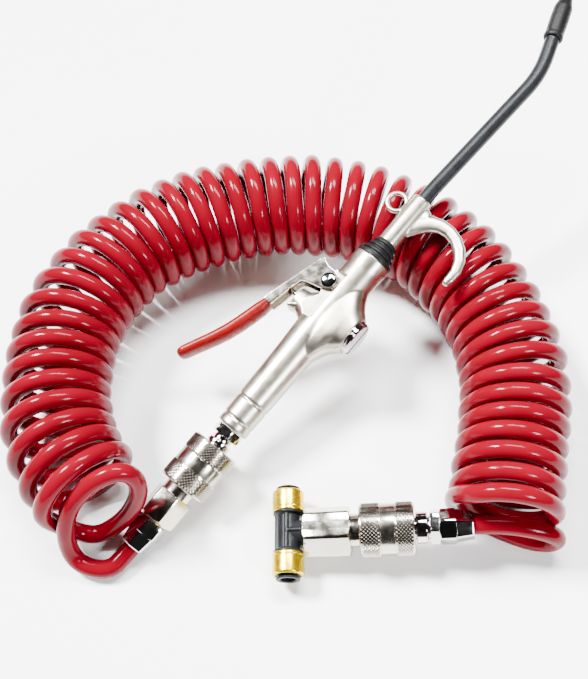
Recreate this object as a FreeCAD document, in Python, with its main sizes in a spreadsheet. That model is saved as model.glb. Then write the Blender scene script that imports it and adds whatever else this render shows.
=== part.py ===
import FreeCAD, Part
import math
import os
import re

import Sketcher

# Air blow gun on a red recoil hose, with a quick coupler at each end of the
# hose and a push-in tee on the line side.  Millimetres, +Z up, floor at z = 0.
#
# Three local frames are used.  In each one +X runs along the air path:
#   gun frame   origin at the rear face of the gun coupler's hexagon,
#               +X to the nozzle tip, +Y to the lever side
#   line frame  origin where the tee's run and branch cross,
#               +X to the hose nut, +Y along the tee's run
#   floor frame the part's own frame, in which the hose is laid

Vec = FreeCAD.Vector
doc = FreeCAD.newDocument("air_blow_gun_kit")
sheet = doc.addObject("Spreadsheet::Sheet", "Dims")

DIMENSIONS = {
    # where the two assemblies lie
    "gun_x": -75.2, "gun_y": -118.0, "gun_z": 12.12,
    "gun_heading": 48.7, "gun_pitch": 14.4,
    "line_x": -3.1, "line_y": -126.0, "line_z": 12.6,
    "line_pitch": 8.0, "coupler_offset": 16.7,
    "origin_x": 36.667, "origin_y": 18.99, "origin_z": 0,
    # fits
    "slide_gap": 0.05,
    # quick coupler, stations along its axis
    "socket_start": 31, "neck_start": 17, "neck_end": 22.3, "flange_end": 24.3,
    "land_start": 37.5, "land_end": 46.8, "sleeve_start": 22, "coupler_end": 51,
    "chamber_start": 12, "thread_length": 8, "ball_station": 44.5,
    "packing_start": 34, "packing_end": 37.5, "ring_start": 47.2, "ring_end": 48.4,
    # quick coupler, radii
    "neck_radius": 8.8, "flange_radius": 11.8, "shank_radius": 9.25, "socket_radius": 6.05,
    "nose_bore": 4.9, "packing_radius": 7.4, "chamber_radius": 6.2, "passage_radius": 3.2,
    "thread_radius": 6.5, "sleeve_radius": 14.2, "band_radius": 13.8, "cavity_radius": 12.1,
    "recess_radius": 11.3, "ring_groove_radius": 8.7, "ring_radius": 10.9,
    "ball_radius": 2.2, "ball_orbit": 7.05,
    "gun_hex_across": 20, "line_hex_across": 24, "line_hex_extra": 7.5,
    # plug (nipple)
    "nose_radius": 4.7, "plug_radius": 6, "groove_radius": 4.8, "plug_bore": 2.6,
    "plug_hex_across": 15,
    # hose and its fittings
    "hose_radius": 5, "hose_bore": 3.25, "barb_radius": 3.15, "coil_radius": 31,
    "nut_across": 17, "nut_end_across": 13.4, "nut_hex_length": 8.5, "nut_length": 17.6,
    "nut_thread": 7.05, "male_thread": 7, "nut_mouth": 5.1,
    # gun body
    "body_start": 63.6, "body_end": 187, "handle_radius": 9.5, "grip_radius": 10.6,
    "valve_x": 145.5, "cap_face": 22.6, "cap_radius": 10.2, "valve_bore": 6.6,
    "seat_y": -0.65, "seat_bore": 3.4, "stem_radius": 1.5, "guide_radius": 4.2,
    "pivot_x": 162.1, "pivot_y": 10.6, "pin_radius": 1.5,
    "inlet_radius": 5.05, "outlet_radius": 5.25,
    "valve_spring_wire": 0.45, "valve_spring_length": 14.2, "valve_spring_radius": 3.7,
    "valve_spring_top": 4.6,
    # lever
    "lever_half_width": 6.4, "cheek_inside": 4.5, "web_thickness": 1.6,
    "tang_half_width": 4.6, "grip_half_width": 6.6, "stem_top": 28.1,
    # nozzle, hook and hang ring
    "tube_radius": 4.4, "tube_bore": 3.1, "barrel_radius": 6.1, "barrel_start": 200,
    "barrel_end": 233, "tube_start": 174, "lean_start": 236, "lean_radius": 200,
    "lean_angle": 3, "leaning_length": 78, "bend_radius": 64, "bend_angle": 22.5,
    "tube_tail": 22, "tip_radius": 5.75, "tip_length": 30,
    "ring_x": 223.9, "ring_y": 11.7, "ring_hole": 4.25, "ring_outer": 6.9,
    "ring_thickness": 2.6, "hook_thickness": 6,
    # tee
    "run_radius": 6.8, "run_half": 23, "tee_ring_radius": 8.6, "tee_ring_start": 11.2,
    "collet_radius": 6.2, "tube_port": 4.05, "collet_reach": 25.4,
}


def fill_sheet():
    """Write each driving dimension into a row of the sheet, with its alias."""
    for row, (alias, value) in enumerate(DIMENSIONS.items(), start=1):
        sheet.set("A%d" % row, alias)
        sheet.set("B%d" % row, str(value))
        sheet.setAlias("B%d" % row, alias)
    doc.recompute()


fill_sheet()


def expression(text):
    """Turn words such as hex_end + 3 into a formula on the sheet's cells."""
    return re.sub(r"[a-z][a-z_]+", lambda word: "Dims." + word.group(0), str(text))


def size(text):
    """The number that a formula on the sheet gives now."""
    return float(sheet.evalExpression(expression(text)))


# ---------------------------------------------------------------- placements

def origin_shift():
    return Vec(size("origin_x"), size("origin_y"), size("origin_z"))


def gun_frame():
    turn = FreeCAD.Rotation(size("gun_heading"), -size("gun_pitch"), 0)
    return FreeCAD.Placement(Vec(size("gun_x"), size("gun_y"), size("gun_z")) - origin_shift(), turn)


def line_frame():
    turn = FreeCAD.Rotation(0, -size("line_pitch"), 0)
    return FreeCAD.Placement(Vec(size("line_x"), size("line_y"), size("line_z")) - origin_shift(), turn)


def moved(frame, x=0, y=0, z=0):
    return frame.multiply(FreeCAD.Placement(Vec(x, y, z), FreeCAD.Rotation()))


GUN = gun_frame()
LINE = line_frame()
LINE_COUPLER = moved(LINE, size("coupler_offset"))
COIL_SIDES = 16
MITRED = 1
VALVE_SPRING_TURNS = 5

node_objects = []


def keep(thing, label, placement):
    """Register one sub-part under the name of its node."""
    thing.Label = label
    thing.Placement = placement
    node_objects.append(thing)
    return thing


# ------------------------------------------------------------ sketch helpers

def new_sketch(body, role, name, offset=None):
    """A sketch on one of the body's own origin planes."""
    sketch = body.newObject("Sketcher::SketchObject", name)
    plane = [item for item in body.Origin.OriginFeatures if item.Role == role][0]
    sketch.AttachmentSupport = [(plane, "")]
    sketch.MapMode = "FlatFace"
    if offset is not None:
        for axis, formula in zip("xyz", offset):
            sketch.setExpression("AttachmentOffset.Base." + axis, expression(formula))
    return sketch


def bind(sketch, kind, geometry, point, formula):
    """Hold one point's distance from the sketch's origin to a formula."""
    number = sketch.addConstraint(Sketcher.Constraint(kind, -1, 1, geometry, point, size(formula)))
    sketch.setExpression("Constraints[%d]" % number, expression(formula))


def draw_polygon(sketch, corners):
    """Closed outline of straight edges through corners given as formulas."""
    first = sketch.GeometryCount
    places = [Vec(size(across), size(up), 0) for across, up in corners]
    count = len(places)
    for index in range(count):
        sketch.addGeometry(Part.LineSegment(places[index], places[(index + 1) % count]), False)
    for index in range(count):
        following = first + (index + 1) % count
        sketch.addConstraint(Sketcher.Constraint("Coincident", first + index, 2, following, 1))
    for index, (across, up) in enumerate(corners):
        bind(sketch, "DistanceX", first + index, 1, across)
        bind(sketch, "DistanceY", first + index, 1, up)


def draw_circle(sketch, across, up, radius):
    centre = Vec(size(across), size(up), 0)
    number = sketch.addGeometry(Part.Circle(centre, Vec(0, 0, 1), size(radius)), False)
    bind(sketch, "DistanceX", number, 3, across)
    bind(sketch, "DistanceY", number, 3, up)
    held = sketch.addConstraint(Sketcher.Constraint("Radius", number, size(radius)))
    sketch.setExpression("Constraints[%d]" % held, expression(radius))


def draw_ellipse(sketch, half_x, half_y):
    """Ellipse about the sketch's origin; half_x is the longer half-axis."""
    shape = Part.Ellipse(Vec(half_x, 0, 0), Vec(0, half_y, 0), Vec(0, 0, 0))
    sketch.addGeometry(shape, False)


def new_body(name):
    return doc.addObject("PartDesign::Body", name)


def revolve(body, outline, kind="PartDesign::Revolution", offset=None, axis="H_Axis", name="turned"):
    """Turn an outline of (station, radius) formulas about the sketch's axis."""
    sketch = new_sketch(body, "XY_Plane", body.Name + "_" + name + "_outline", offset)
    draw_polygon(sketch, outline)
    feature = body.newObject(kind, body.Name + "_" + name)
    feature.Profile = sketch
    feature.ReferenceAxis = (sketch, [axis])
    feature.Angle = 360
    doc.recompute()
    return feature


def turned(label, outline, placement):
    """A piece turned on the lathe about the local X axis."""
    body = new_body(label)
    revolve(body, outline)
    return keep(body, label, placement)


def cut_away(body, feature_name, role, offset, draw, length, both_ways=False, reverse=True):
    """Pocket from a plane across the body, checked to remove material."""
    before = body.Shape.Volume
    sketch = new_sketch(body, role, feature_name + "_outline", offset)
    draw(sketch)
    pocket = body.newObject("PartDesign::Pocket", feature_name)
    pocket.Profile = sketch
    pocket.setExpression("Length", expression(length))
    pocket.Midplane = both_ways
    pocket.Reversed = reverse and not both_ways
    doc.recompute()
    if body.Shape.Volume >= before:
        raise ValueError(feature_name + " removed nothing")
    return pocket


def add_pad(body, feature_name, role, offset, draw, length, both_ways=False, reverse=False):
    sketch = new_sketch(body, role, feature_name + "_outline", offset)
    draw(sketch)
    pad = body.newObject("PartDesign::Pad", feature_name)
    pad.Profile = sketch
    pad.setExpression("Length", expression(length))
    pad.Midplane = both_ways
    pad.Reversed = reverse
    doc.recompute()
    return pad


def hexagon(across):
    """Corner formulas of a hexagon with two flats facing up and down."""
    half = "(%s) / 2" % across
    slope = "(%s) / 3.4641016" % across
    corner = "(%s) / 1.7320508" % across
    return [(corner, "0"), (slope, half), ("-(%s)" % slope, half),
            ("-(%s)" % corner, "0"), ("-(%s)" % slope, "-(%s)" % half), (slope, "-(%s)" % half)]


def mill_hexagon(body, start, length, across):
    """Cut six wrench flats on a turned collar."""
    def ring_outside_hexagon(sketch):
        draw_circle(sketch, "0", "0", "(%s) * 0.8" % across)
        corners = [(up, over) for over, up in hexagon(across)]
        draw_polygon(sketch, corners)

    offset = ("0", "0", start)
    return cut_away(body, body.Name + "_flats_%d" % len(body.Group), "YZ_Plane", offset,
                    ring_outside_hexagon, length)


def wire_coil(rise, mean_radius, wire_radius, turns):
    """Round wire bent in short straights about X, from x = 0 to x = rise."""
    count = int(round(turns * COIL_SIDES))
    points = []
    for number in range(count + 1):
        angle = 2 * math.pi * number / COIL_SIDES
        points.append(Vec(rise * number / count, mean_radius * math.cos(angle),
                          mean_radius * math.sin(angle)))
    section = Part.Wire([Part.Circle(points[0], points[1] - points[0], wire_radius).toShape()])
    return Part.makePolygon(points).makePipeShell([section], True, False, MITRED)


def helix_spring(label, start, end, mean_radius, wire_radius, turns, placement):
    """Compression spring about the local X axis, between two stations."""
    rise = size(end) - size(start) - 2 * wire_radius
    coil = wire_coil(rise, mean_radius, wire_radius, turns)
    shift = FreeCAD.Placement(Vec(size(start) + wire_radius, 0, 0), FreeCAD.Rotation())
    return solid_feature(label, coil, placement.multiply(shift))


def solid_feature(label, shape, placement):
    """A piece whose curved outline has no sketch counterpart."""
    thing = doc.addObject("Part::Feature", label)
    thing.Shape = shape
    return keep(thing, label, placement)


# -------------------------------------------------------------- quick coupler

def coupler_body(prefix, rear, across, frame):
    """Socket with wrench hexagon, spring flange, ball holes and valve chamber."""
    corner = "(%s) / 1.75" % across
    outline = [
        (rear, "thread_radius"), (rear, corner + " - 1"), (rear + " + 1", corner),
        ("neck_start - 1", corner), ("neck_start", corner + " - 1"),
        ("neck_start", "neck_radius"), ("neck_end + 0.5", "neck_radius"),
        ("neck_end + 0.5", "flange_radius"), ("flange_end", "flange_radius"),
        ("flange_end", "shank_radius"), ("ring_start", "shank_radius"),
        ("ring_start", "ring_groove_radius"), ("ring_end", "ring_groove_radius"),
        ("ring_end", "shank_radius"), ("coupler_end - 0.6", "shank_radius"),
        ("coupler_end", "shank_radius - 0.6"), ("coupler_end", "socket_radius + 0.5"),
        ("coupler_end - 0.5", "socket_radius"), ("packing_end + 2.5", "socket_radius"),
        ("packing_end + 1.3", "nose_bore"), ("packing_end", "nose_bore"),
        ("packing_end", "packing_radius"), ("packing_start", "packing_radius"),
        ("packing_start", "nose_bore"), ("socket_start", "nose_bore"),
        ("socket_start - 1.3", "chamber_radius"), ("chamber_start", "chamber_radius"),
        ("chamber_start", "passage_radius"), (rear + " + thread_length + 0.5", "passage_radius"),
        (rear + " + thread_length + 0.5", "thread_radius"),
    ]
    body = new_body(prefix + "_body")
    revolve(body, outline)
    mill_hexagon(body, rear, "neck_start - (%s)" % rear, across)
    hole = cut_away(body, prefix + "_ball_hole", "XY_Plane", ("0", "0", "0"),
                    lambda sketch: draw_circle(sketch, "ball_station", "0", "ball_radius + slide_gap"),
                    "3 * shank_radius", both_ways=True)
    pattern = body.newObject("PartDesign::PolarPattern", prefix + "_ball_holes")
    pattern.Originals = [hole]
    x_axis = [item for item in body.Origin.OriginFeatures if item.Role == "X_Axis"][0]
    pattern.Axis = (x_axis, [""])
    pattern.Angle = 180 * 2
    pattern.Occurrences = 6
    body.Tip = pattern
    doc.recompute()
    return keep(body, prefix + "_body", frame)


def coupler_sleeve(prefix, frame):
    """Sliding sleeve: spring cavity behind, ball land, release recess in front."""
    outline = [
        ("sleeve_start", "cavity_radius"), ("sleeve_start", "sleeve_radius - 0.8"),
        ("sleeve_start + 0.8", "sleeve_radius"), ("sleeve_start + 11.5", "sleeve_radius"),
        ("sleeve_start + 12", "band_radius"), ("sleeve_start + 18.5", "band_radius"),
        ("sleeve_start + 19", "sleeve_radius"), ("coupler_end - 0.8", "sleeve_radius"),
        ("coupler_end", "sleeve_radius - 0.8"), ("coupler_end", "recess_radius + 0.4"),
        ("coupler_end - 0.4", "recess_radius"), ("land_end", "recess_radius"),
        ("land_end", "shank_radius + slide_gap"), ("land_start", "shank_radius + slide_gap"),
        ("land_start", "cavity_radius"),
    ]
    return turned(prefix + "_sleeve", outline, frame)


def locking_balls(prefix, frame):
    """Six steel balls between the socket and the plug's groove."""
    balls = []
    for index in range(6):
        angle = math.radians(60 * index + 30)
        centre = Vec(size("ball_station"), size("ball_orbit") * math.cos(angle),
                     size("ball_orbit") * math.sin(angle))
        balls.append(Part.makeSphere(size("ball_radius"), centre))
    return solid_feature(prefix + "_balls", Part.makeCompound(balls), frame)


def coupler_valve(prefix, frame):
    """Shut-off valve, held open by the plug's nose."""
    outline = [
        ("chamber_start + 3.5", "0"), ("chamber_start + 3.5", "2"), ("chamber_start + 12", "2"),
        ("chamber_start + 12", "5.4"), ("chamber_start + 15", "5.4"),
        ("chamber_start + 16.5", "3"), ("socket_start - slide_gap", "3"),
        ("socket_start - slide_gap", "0"),
    ]
    return turned(prefix + "_valve", outline, frame)


def coupler_packing(prefix, frame):
    """Rubber lip seal round the plug's nose."""
    outline = [
        ("packing_start + slide_gap", "nose_radius + slide_gap"),
        ("packing_start + slide_gap", "packing_radius - slide_gap"),
        ("packing_end - slide_gap", "packing_radius - slide_gap"),
        ("packing_end - slide_gap", "nose_radius + 1"),
        ("packing_end - 1.2", "nose_radius + slide_gap"),
    ]
    return turned(prefix + "_seal", outline, frame)


def coupler_snap_ring(prefix, frame):
    """Wire ring that stops the sleeve."""
    outline = [
        ("ring_start + slide_gap", "ring_groove_radius + slide_gap"),
        ("ring_start + slide_gap", "ring_radius"),
        ("ring_end - slide_gap", "ring_radius"),
        ("ring_end - slide_gap", "ring_groove_radius + slide_gap"),
    ]
    return turned(prefix + "_snap_ring", outline, frame)


def quick_coupler(prefix, rear, across, frame):
    coupler_body(prefix, rear, across, frame)
    coupler_sleeve(prefix, frame)
    helix_spring(prefix + "_spring", "flange_end", "land_start", 10.7, 0.8, 4.5, frame)
    locking_balls(prefix, frame)
    coupler_valve(prefix, frame)
    helix_spring(prefix + "_valve_spring", "chamber_start", "chamber_start + 12", 3.9, 0.5, 5, frame)
    coupler_packing(prefix, frame)
    coupler_snap_ring(prefix, frame)


# ----------------------------------------------------------------------- plugs

def plug_front():
    """Outline of a plug from its nose to the coupler's mouth."""
    return [
        ("socket_start", "plug_bore"), ("socket_start", "nose_radius - 0.7"),
        ("socket_start + 0.7", "nose_radius"), ("packing_end + 2.5", "nose_radius"),
        ("ball_station - 3.6", "plug_radius"), ("ball_station - 2.3", "plug_radius"),
        ("ball_station - 1.1", "groove_radius"), ("ball_station + 1.1", "groove_radius"),
        ("ball_station + 2.3", "plug_radius"), ("coupler_end + 0.6", "plug_radius"),
    ]


def inlet_plug():
    """Plug screwed into the gun's handle."""
    outline = plug_front() + [
        ("coupler_end + 1", "plug_radius + 0.8"), ("coupler_end + 3.2", "plug_radius + 0.8"),
        ("coupler_end + 3.6", "plug_radius - 0.6"), ("coupler_end + 6.6", "plug_radius - 0.6"),
        ("body_start - 5.8", "plug_hex_across / 2"), ("body_start - 5", "plug_hex_across / 1.75"),
        ("body_start - 1.2", "plug_hex_across / 1.75"), ("body_start - 0.6", "plug_hex_across / 2"),
        ("body_start - 0.6", "inlet_radius - slide_gap"),
        ("body_start + 12", "inlet_radius - slide_gap"), ("body_start + 12", "plug_bore"),
    ]
    body = new_body("inlet_plug")
    revolve(body, outline)
    mill_hexagon(body, "body_start - 6", "5.4", "plug_hex_across")
    keep(body, "inlet_plug", GUN)
    washer = [
        ("body_start - 0.6", "inlet_radius"), ("body_start - 0.6", "plug_hex_across / 2"),
        ("body_start", "plug_hex_across / 2"), ("body_start", "inlet_radius"),
    ]
    turned("inlet_seal", washer, GUN)


def line_plug():
    """Plug with its own barb, at the line end of the hose."""
    outline = plug_front() + [
        ("coupler_end + 1", "plug_radius + 2.4"), ("coupler_end + 6.6", "plug_radius + 2.4"),
        ("coupler_end + 7", "plug_radius"), ("coupler_end + 8", "plug_radius"),
        ("coupler_end + 8", "nut_across / 1.85"), ("coupler_end + 8.6", "nut_across / 1.75"),
        ("coupler_end + 12.4", "nut_across / 1.75"), ("coupler_end + 13", "nut_across / 1.85"),
        ("coupler_end + 13", "male_thread"), ("coupler_end + 20", "male_thread"),
        ("coupler_end + 20", "barb_radius"), ("coupler_end + 28.5", "barb_radius"),
        ("coupler_end + 29.5", "barb_radius - 0.6"), ("coupler_end + 29.5", "plug_bore - 0.5"),
        ("coupler_end + 10", "plug_bore - 0.5"), ("coupler_end + 9", "plug_bore"),
    ]
    body = new_body("line_plug")
    revolve(body, outline)
    mill_hexagon(body, "coupler_end + 7.9", "5.2", "nut_across")
    return keep(body, "line_plug", LINE_COUPLER)


# ------------------------------------------------------------- hose fittings

def hose_connector():
    """Barbed connector screwed into the rear of the gun coupler."""
    outline = [
        ("thread_length", "2.1"), ("thread_length", "thread_radius - slide_gap"),
        ("0", "thread_radius - slide_gap"), ("0", "8"), ("-0.9", "8"), ("-0.9", "male_thread"),
        ("-7.9", "male_thread"), ("-7.9", "barb_radius"), ("-16.4", "barb_radius"),
        ("-17.4", "barb_radius - 0.6"), ("-17.4", "2.1"),
    ]
    return turned("gun_hose_connector", outline, GUN)


def hose_nut(label, frame):
    """Nut that grips the hose: a hexagon that tapers in six facets.

    It is made with its thread end at x = 0 and its mouth at x = nut_length.
    """
    body = new_body(label)
    collar = [
        ("0", "0"), ("0", "nut_across / 1.85"), ("0.7", "nut_across / 1.75"),
        ("nut_hex_length - 0.7", "nut_across / 1.75"), ("nut_hex_length", "nut_across / 1.85"),
        ("nut_hex_length", "0"),
    ]
    revolve(body, collar)
    mill_hexagon(body, "0", "nut_hex_length", "nut_across")
    loft_sections = []
    for name, station, across in (("base", "nut_hex_length", "nut_across - 1.2"),
                                  ("mouth", "nut_length", "nut_end_across")):
        sketch = new_sketch(body, "YZ_Plane", label + "_" + name, ("0", "0", station))
        draw_polygon(sketch, [(up, over) for over, up in hexagon(across)])
        loft_sections.append(sketch)
    taper = body.newObject("PartDesign::AdditiveLoft", label + "_taper")
    taper.Profile = loft_sections[0]
    taper.Sections = [loft_sections[1]]
    doc.recompute()
    bore = [
        ("-1", "0"), ("-1", "nut_thread"), ("7.4", "nut_thread"),
        ("9.2", "nut_mouth"), ("nut_length + 1", "nut_mouth"), ("nut_length + 1", "0"),
    ]
    revolve(body, bore, kind="PartDesign::Groove", name="bore")
    return keep(body, label, frame)


# --------------------------------------------------------------------- gun body

def handle_outline():
    """Half section of the handle, belly and front neck, with two finger grooves."""
    return [
        ("body_start", "0"), ("body_start", "handle_radius - 0.8"),
        ("body_start + 0.8", "handle_radius"), ("body_start + 4.6", "handle_radius"),
        ("body_start + 5", "handle_radius - 0.7"), ("body_start + 6.4", "handle_radius - 0.7"),
        ("body_start + 6.8", "handle_radius + 0.1"), ("body_start + 16.8", "handle_radius + 0.4"),
        ("body_start + 17.2", "handle_radius - 0.4"), ("body_start + 18.6", "handle_radius - 0.4"),
        ("body_start + 19", "handle_radius + 0.5"), ("117", "grip_radius"),
        ("130", "grip_radius + 0.6"), ("158", "grip_radius + 0.8"), ("178", "grip_radius"),
        ("body_end - 2", "grip_radius + 0.9"), ("body_end", "grip_radius + 0.9"),
        ("body_end", "0"),
    ]


def add_loft(body, name, sections):
    """Loft between ellipses given as (offset, long half-axis, short half-axis)."""
    sketches = []
    for number, (offset, half_x, half_z) in enumerate(sections):
        place = ("valve_x", "0", offset)
        sketch = new_sketch(body, "XZ_Plane", "%s_section_%d" % (name, number), place)
        if half_x > half_z:
            draw_ellipse(sketch, half_x, half_z)
        else:
            draw_circle(sketch, "0", "0", str(half_x))
        sketches.append(sketch)
    loft = body.newObject("PartDesign::AdditiveLoft", name)
    loft.Profile = sketches[0]
    loft.Sections = sketches[1:]
    doc.recompute()
    return loft


def bore_valve_passages(body):
    """Chamber, seat and stem bore on the valve axis; inlet and outlet on the gun axis."""
    valve = [
        ("0", "-cap_face - 2"), ("valve_bore + 1.6", "-cap_face - 2"),
        ("valve_bore + 1.6", "-15"), ("valve_bore", "-14.4"), ("valve_bore", "seat_y"),
        ("seat_bore", "seat_y"), ("seat_bore", "seat_y + 2"), ("seat_bore + 0.6", "seat_y + 2.6"),
        ("seat_bore + 0.6", "8"), ("guide_radius", "8"), ("guide_radius", "24"), ("0", "24"),
    ]
    revolve(body, valve, kind="PartDesign::Groove", offset=("valve_x", "0", "0"),
            axis="V_Axis", name="valve_bore")
    inlet = [
        ("body_start - 1", "0"), ("body_start - 1", "inlet_radius"),
        ("body_start + 13", "inlet_radius"), ("body_start + 15", "3"),
        ("valve_x - 4", "3"), ("valve_x - 4", "0"),
    ]
    revolve(body, inlet, kind="PartDesign::Groove", name="inlet")
    outlet = [
        ("tube_start - 1", "0"), ("tube_start - 1", "outlet_radius"),
        ("body_end + 1", "outlet_radius"), ("body_end + 1", "0"),
    ]
    revolve(body, outlet, kind="PartDesign::Groove", name="outlet")
    cut_away(body, "cross_passage", "YZ_Plane", ("0", "0", "valve_x"),
             lambda sketch: draw_circle(sketch, "3.6", "0", "1.9"), "tube_start - valve_x")


def lever_lug(body):
    """Lug that the lever straddles, with the pin hole."""
    corners = [
        ("pivot_x - 11", "4"), ("pivot_x - 7", "9"), ("pivot_x - 5", "pivot_y + 2"),
        ("pivot_x - 2.4", "pivot_y + 3.6"), ("pivot_x + 2.4", "pivot_y + 3.6"),
        ("pivot_x + 5", "pivot_y + 1"), ("pivot_x + 9", "8.6"), ("pivot_x + 12", "4"),
    ]
    add_pad(body, "lug", "XY_Plane", ("0", "0", "0"),
            lambda sketch: draw_polygon(sketch, corners), "2 * cheek_inside - 0.6", both_ways=True)
    cut_away(body, "pin_hole", "XY_Plane", ("0", "0", "0"),
             lambda sketch: draw_circle(sketch, "pivot_x", "pivot_y", "pin_radius + slide_gap"),
             "40", both_ways=True)
    for name, reverse in (("cheek_recess_up", True), ("cheek_recess_down", False)):
        height = "cheek_inside - 0.3" if reverse else "-(cheek_inside - 0.3)"
        cut_away(body, name, "XY_Plane", ("0", "0", height),
                 lambda sketch: draw_circle(sketch, "pivot_x", "pivot_y", "4.8"),
                 "12", reverse=reverse)


def gun_body():
    body = new_body("gun_body")
    revolve(body, handle_outline())
    add_loft(body, "valve_belly", [("5", 27, 9), ("11", 21, 10.3), ("16.5", 15.5, 10.9),
                                   ("cap_face - 2.6", 11.4, 11.4)])
    add_loft(body, "stem_boss", [("-7", 13, 8), ("-12", 9, 6.5), ("-19", 5.8, 5.8)])
    lever_lug(body)
    bore_valve_passages(body)
    return keep(body, "gun_body", GUN)


# -------------------------------------------------------------- valve parts

def on_valve_axis(label, outline):
    """A piece turned about the valve axis; outline holds (radius, height) formulas."""
    body = new_body(label)
    revolve(body, outline, axis="V_Axis", offset=("valve_x", "0", "0"))
    return keep(body, label, GUN)


def valve_parts():
    on_valve_axis("valve_cap", [
        ("0", "-cap_face - 0.9"), ("cap_radius - 1", "-cap_face - 0.9"),
        ("cap_radius", "-cap_face"), ("cap_radius", "-cap_face + 2"),
        ("valve_bore + 1.5", "-cap_face + 2"), ("valve_bore + 1.5", "-15.2"),
        ("valve_bore - 1", "-15.2"), ("valve_bore - 1", "-cap_face + 3"),
        ("2.4", "-cap_face + 3"), ("2.4", "-14"), ("1.65", "-14"),
        ("1.65", "-cap_face + 1.5"), ("0", "-cap_face + 1.5"),
    ])
    add_slot_to_cap()
    on_valve_axis("valve_cap_seal", [
        ("valve_bore + 1.7", "-cap_face + 2"), ("cap_radius", "-cap_face + 2"),
        ("cap_radius", "-cap_face + 2.6"), ("valve_bore + 1.7", "-cap_face + 2.6"),
    ])
    on_valve_axis("valve_poppet", [
        ("0", "-12.6"), ("stem_radius", "-12.6"), ("stem_radius", "-4.6"), ("5.4", "-4.6"),
        ("5.4", "-1.6"), ("stem_radius", "-1.6"), ("stem_radius", "-0.6"), ("0", "-0.6"),
    ])
    on_valve_axis("poppet_seal", [
        ("stem_radius + slide_gap", "-1.6"), ("5.2", "-1.6"), ("5.2", "-0.7"),
        ("stem_radius + slide_gap", "-0.7"),
    ])
    on_valve_axis("valve_stem", [
        ("0", "-0.6"), ("stem_radius", "-0.6"), ("stem_radius", "stem_top - 0.6"),
        ("stem_radius - 0.6", "stem_top"), ("0", "stem_top"),
    ])
    on_valve_axis("stem_guide", [
        ("stem_radius + slide_gap", "9.6"), ("guide_radius - slide_gap", "9.6"),
        ("guide_radius - slide_gap", "19"), ("5", "19"), ("4.4", "20.6"),
        ("stem_radius + slide_gap", "20.6"),
    ])
    on_valve_axis("stem_seal", [
        ("stem_radius + slide_gap", "8.1"), ("guide_radius - slide_gap", "8.1"),
        ("guide_radius - slide_gap", "9.5"), ("stem_radius + slide_gap", "9.5"),
    ])


def add_slot_to_cap():
    """Coin slot across the cap's outer face."""
    cap = doc.getObject("valve_cap")
    corners = [("-1", "-12"), ("1", "-12"), ("1", "12"), ("-1", "12")]
    cut_away(cap, "coin_slot", "XZ_Plane", ("valve_x", "0", "cap_face - 0.2"),
             lambda sketch: draw_polygon(sketch, corners), "2", reverse=True)


def valve_spring():
    """Seat spring between the cap and the poppet, about the valve axis."""
    wire = size("valve_spring_wire")
    rise = size("valve_spring_length") - 2 * wire
    coil = wire_coil(rise, size("valve_spring_radius"), wire, VALVE_SPRING_TURNS)
    shift = FreeCAD.Placement(Vec(size("valve_x"), -size("valve_spring_top") - wire, 0),
                              FreeCAD.Rotation(Vec(0, 0, 1), -90))
    return solid_feature("valve_spring", coil, GUN.multiply(shift))


# --------------------------------------------------------------------- lever

def smooth_edge(points):
    curve = Part.BSplineCurve()
    curve.interpolate([Vec(x, y, 0) for x, y in points])
    return curve.toShape()


def plate_between(upper, lower, half_width):
    """Plate with two smooth long edges, upper and lower, closed straight at its ends."""
    top = smooth_edge(upper)
    bottom = smooth_edge(lower)
    ends = [Part.makeLine(Vec(*upper[0], 0), Vec(*lower[0], 0)),
            Part.makeLine(Vec(*upper[-1], 0), Vec(*lower[-1], 0))]
    wire = Part.Wire(Part.sortEdges([top, bottom] + ends)[0])
    face = Part.Face(wire)
    plate = face.extrude(Vec(0, 0, 2 * half_width))
    plate.translate(Vec(0, 0, -half_width))
    return plate


GRIP_LINE = [(134, 31), (120, 34.3), (104, 39.3), (89.5, 46.2), (79, 50.8)]


def offset_line(points, distance):
    """The same line moved sideways by a distance, point by point."""
    moved_points = []
    for index, point in enumerate(points):
        before = points[max(index - 1, 0)]
        after = points[min(index + 1, len(points) - 1)]
        run = math.hypot(after[0] - before[0], after[1] - before[1])
        normal = ((before[1] - after[1]) / run, (after[0] - before[0]) / run)
        moved_points.append((point[0] + distance * normal[0], point[1] + distance * normal[1]))
    return moved_points


def lever():
    """Pressed channel on the pivot pin, with a flat tang inside the dipped grip."""
    half = size("lever_half_width")
    pivot = (size("pivot_x"), size("pivot_y"))
    head = Part.makeCylinder(4.2, 2 * half, Vec(*pivot, -half))
    corners = [(pivot[0] - 4, 10.4), (157.4, 22.6), (148.5, 24.7), (142.5, 25.6), (131.1, 27.8),
               (132, 33.6), (135.4, 33), (147.1, 29.5), (162.8, 24.8), (170.8, 22.6),
               (171.4, 19.6), (167.6, 18.6), (pivot[0] + 4, 10.4)]
    ring = [Vec(x, y, -half) for x, y in corners]
    channel = Part.Face(Part.makePolygon(ring + ring[:1])).extrude(Vec(0, 0, 2 * half))
    inside = size("cheek_inside")
    web = size("web_thickness")
    hollow = [(133, 10), (133, 33.6 - 0.3 - web), (135.4, 33 - web), (147.1, 29.5 - web),
              (162.8, 24.8 - web), (174, 21.6 - web), (174, 2), (133, 2)]
    cut = [Vec(x, y, -inside) for x, y in hollow]
    slot = Part.Face(Part.makePolygon(cut + cut[:1])).extrude(Vec(0, 0, 2 * inside))
    tang = plate_between(offset_line(GRIP_LINE, -1.1), offset_line(GRIP_LINE, 1.1),
                         size("tang_half_width"))
    hole = Part.makeCylinder(size("pin_radius") + size("slide_gap"), 4 * half,
                             Vec(*pivot, -2 * half))
    shape = head.fuse(channel).cut(slot).fuse(tang).cut(hole).removeSplitter()
    return solid_feature("lever", shape, GUN)


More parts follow.
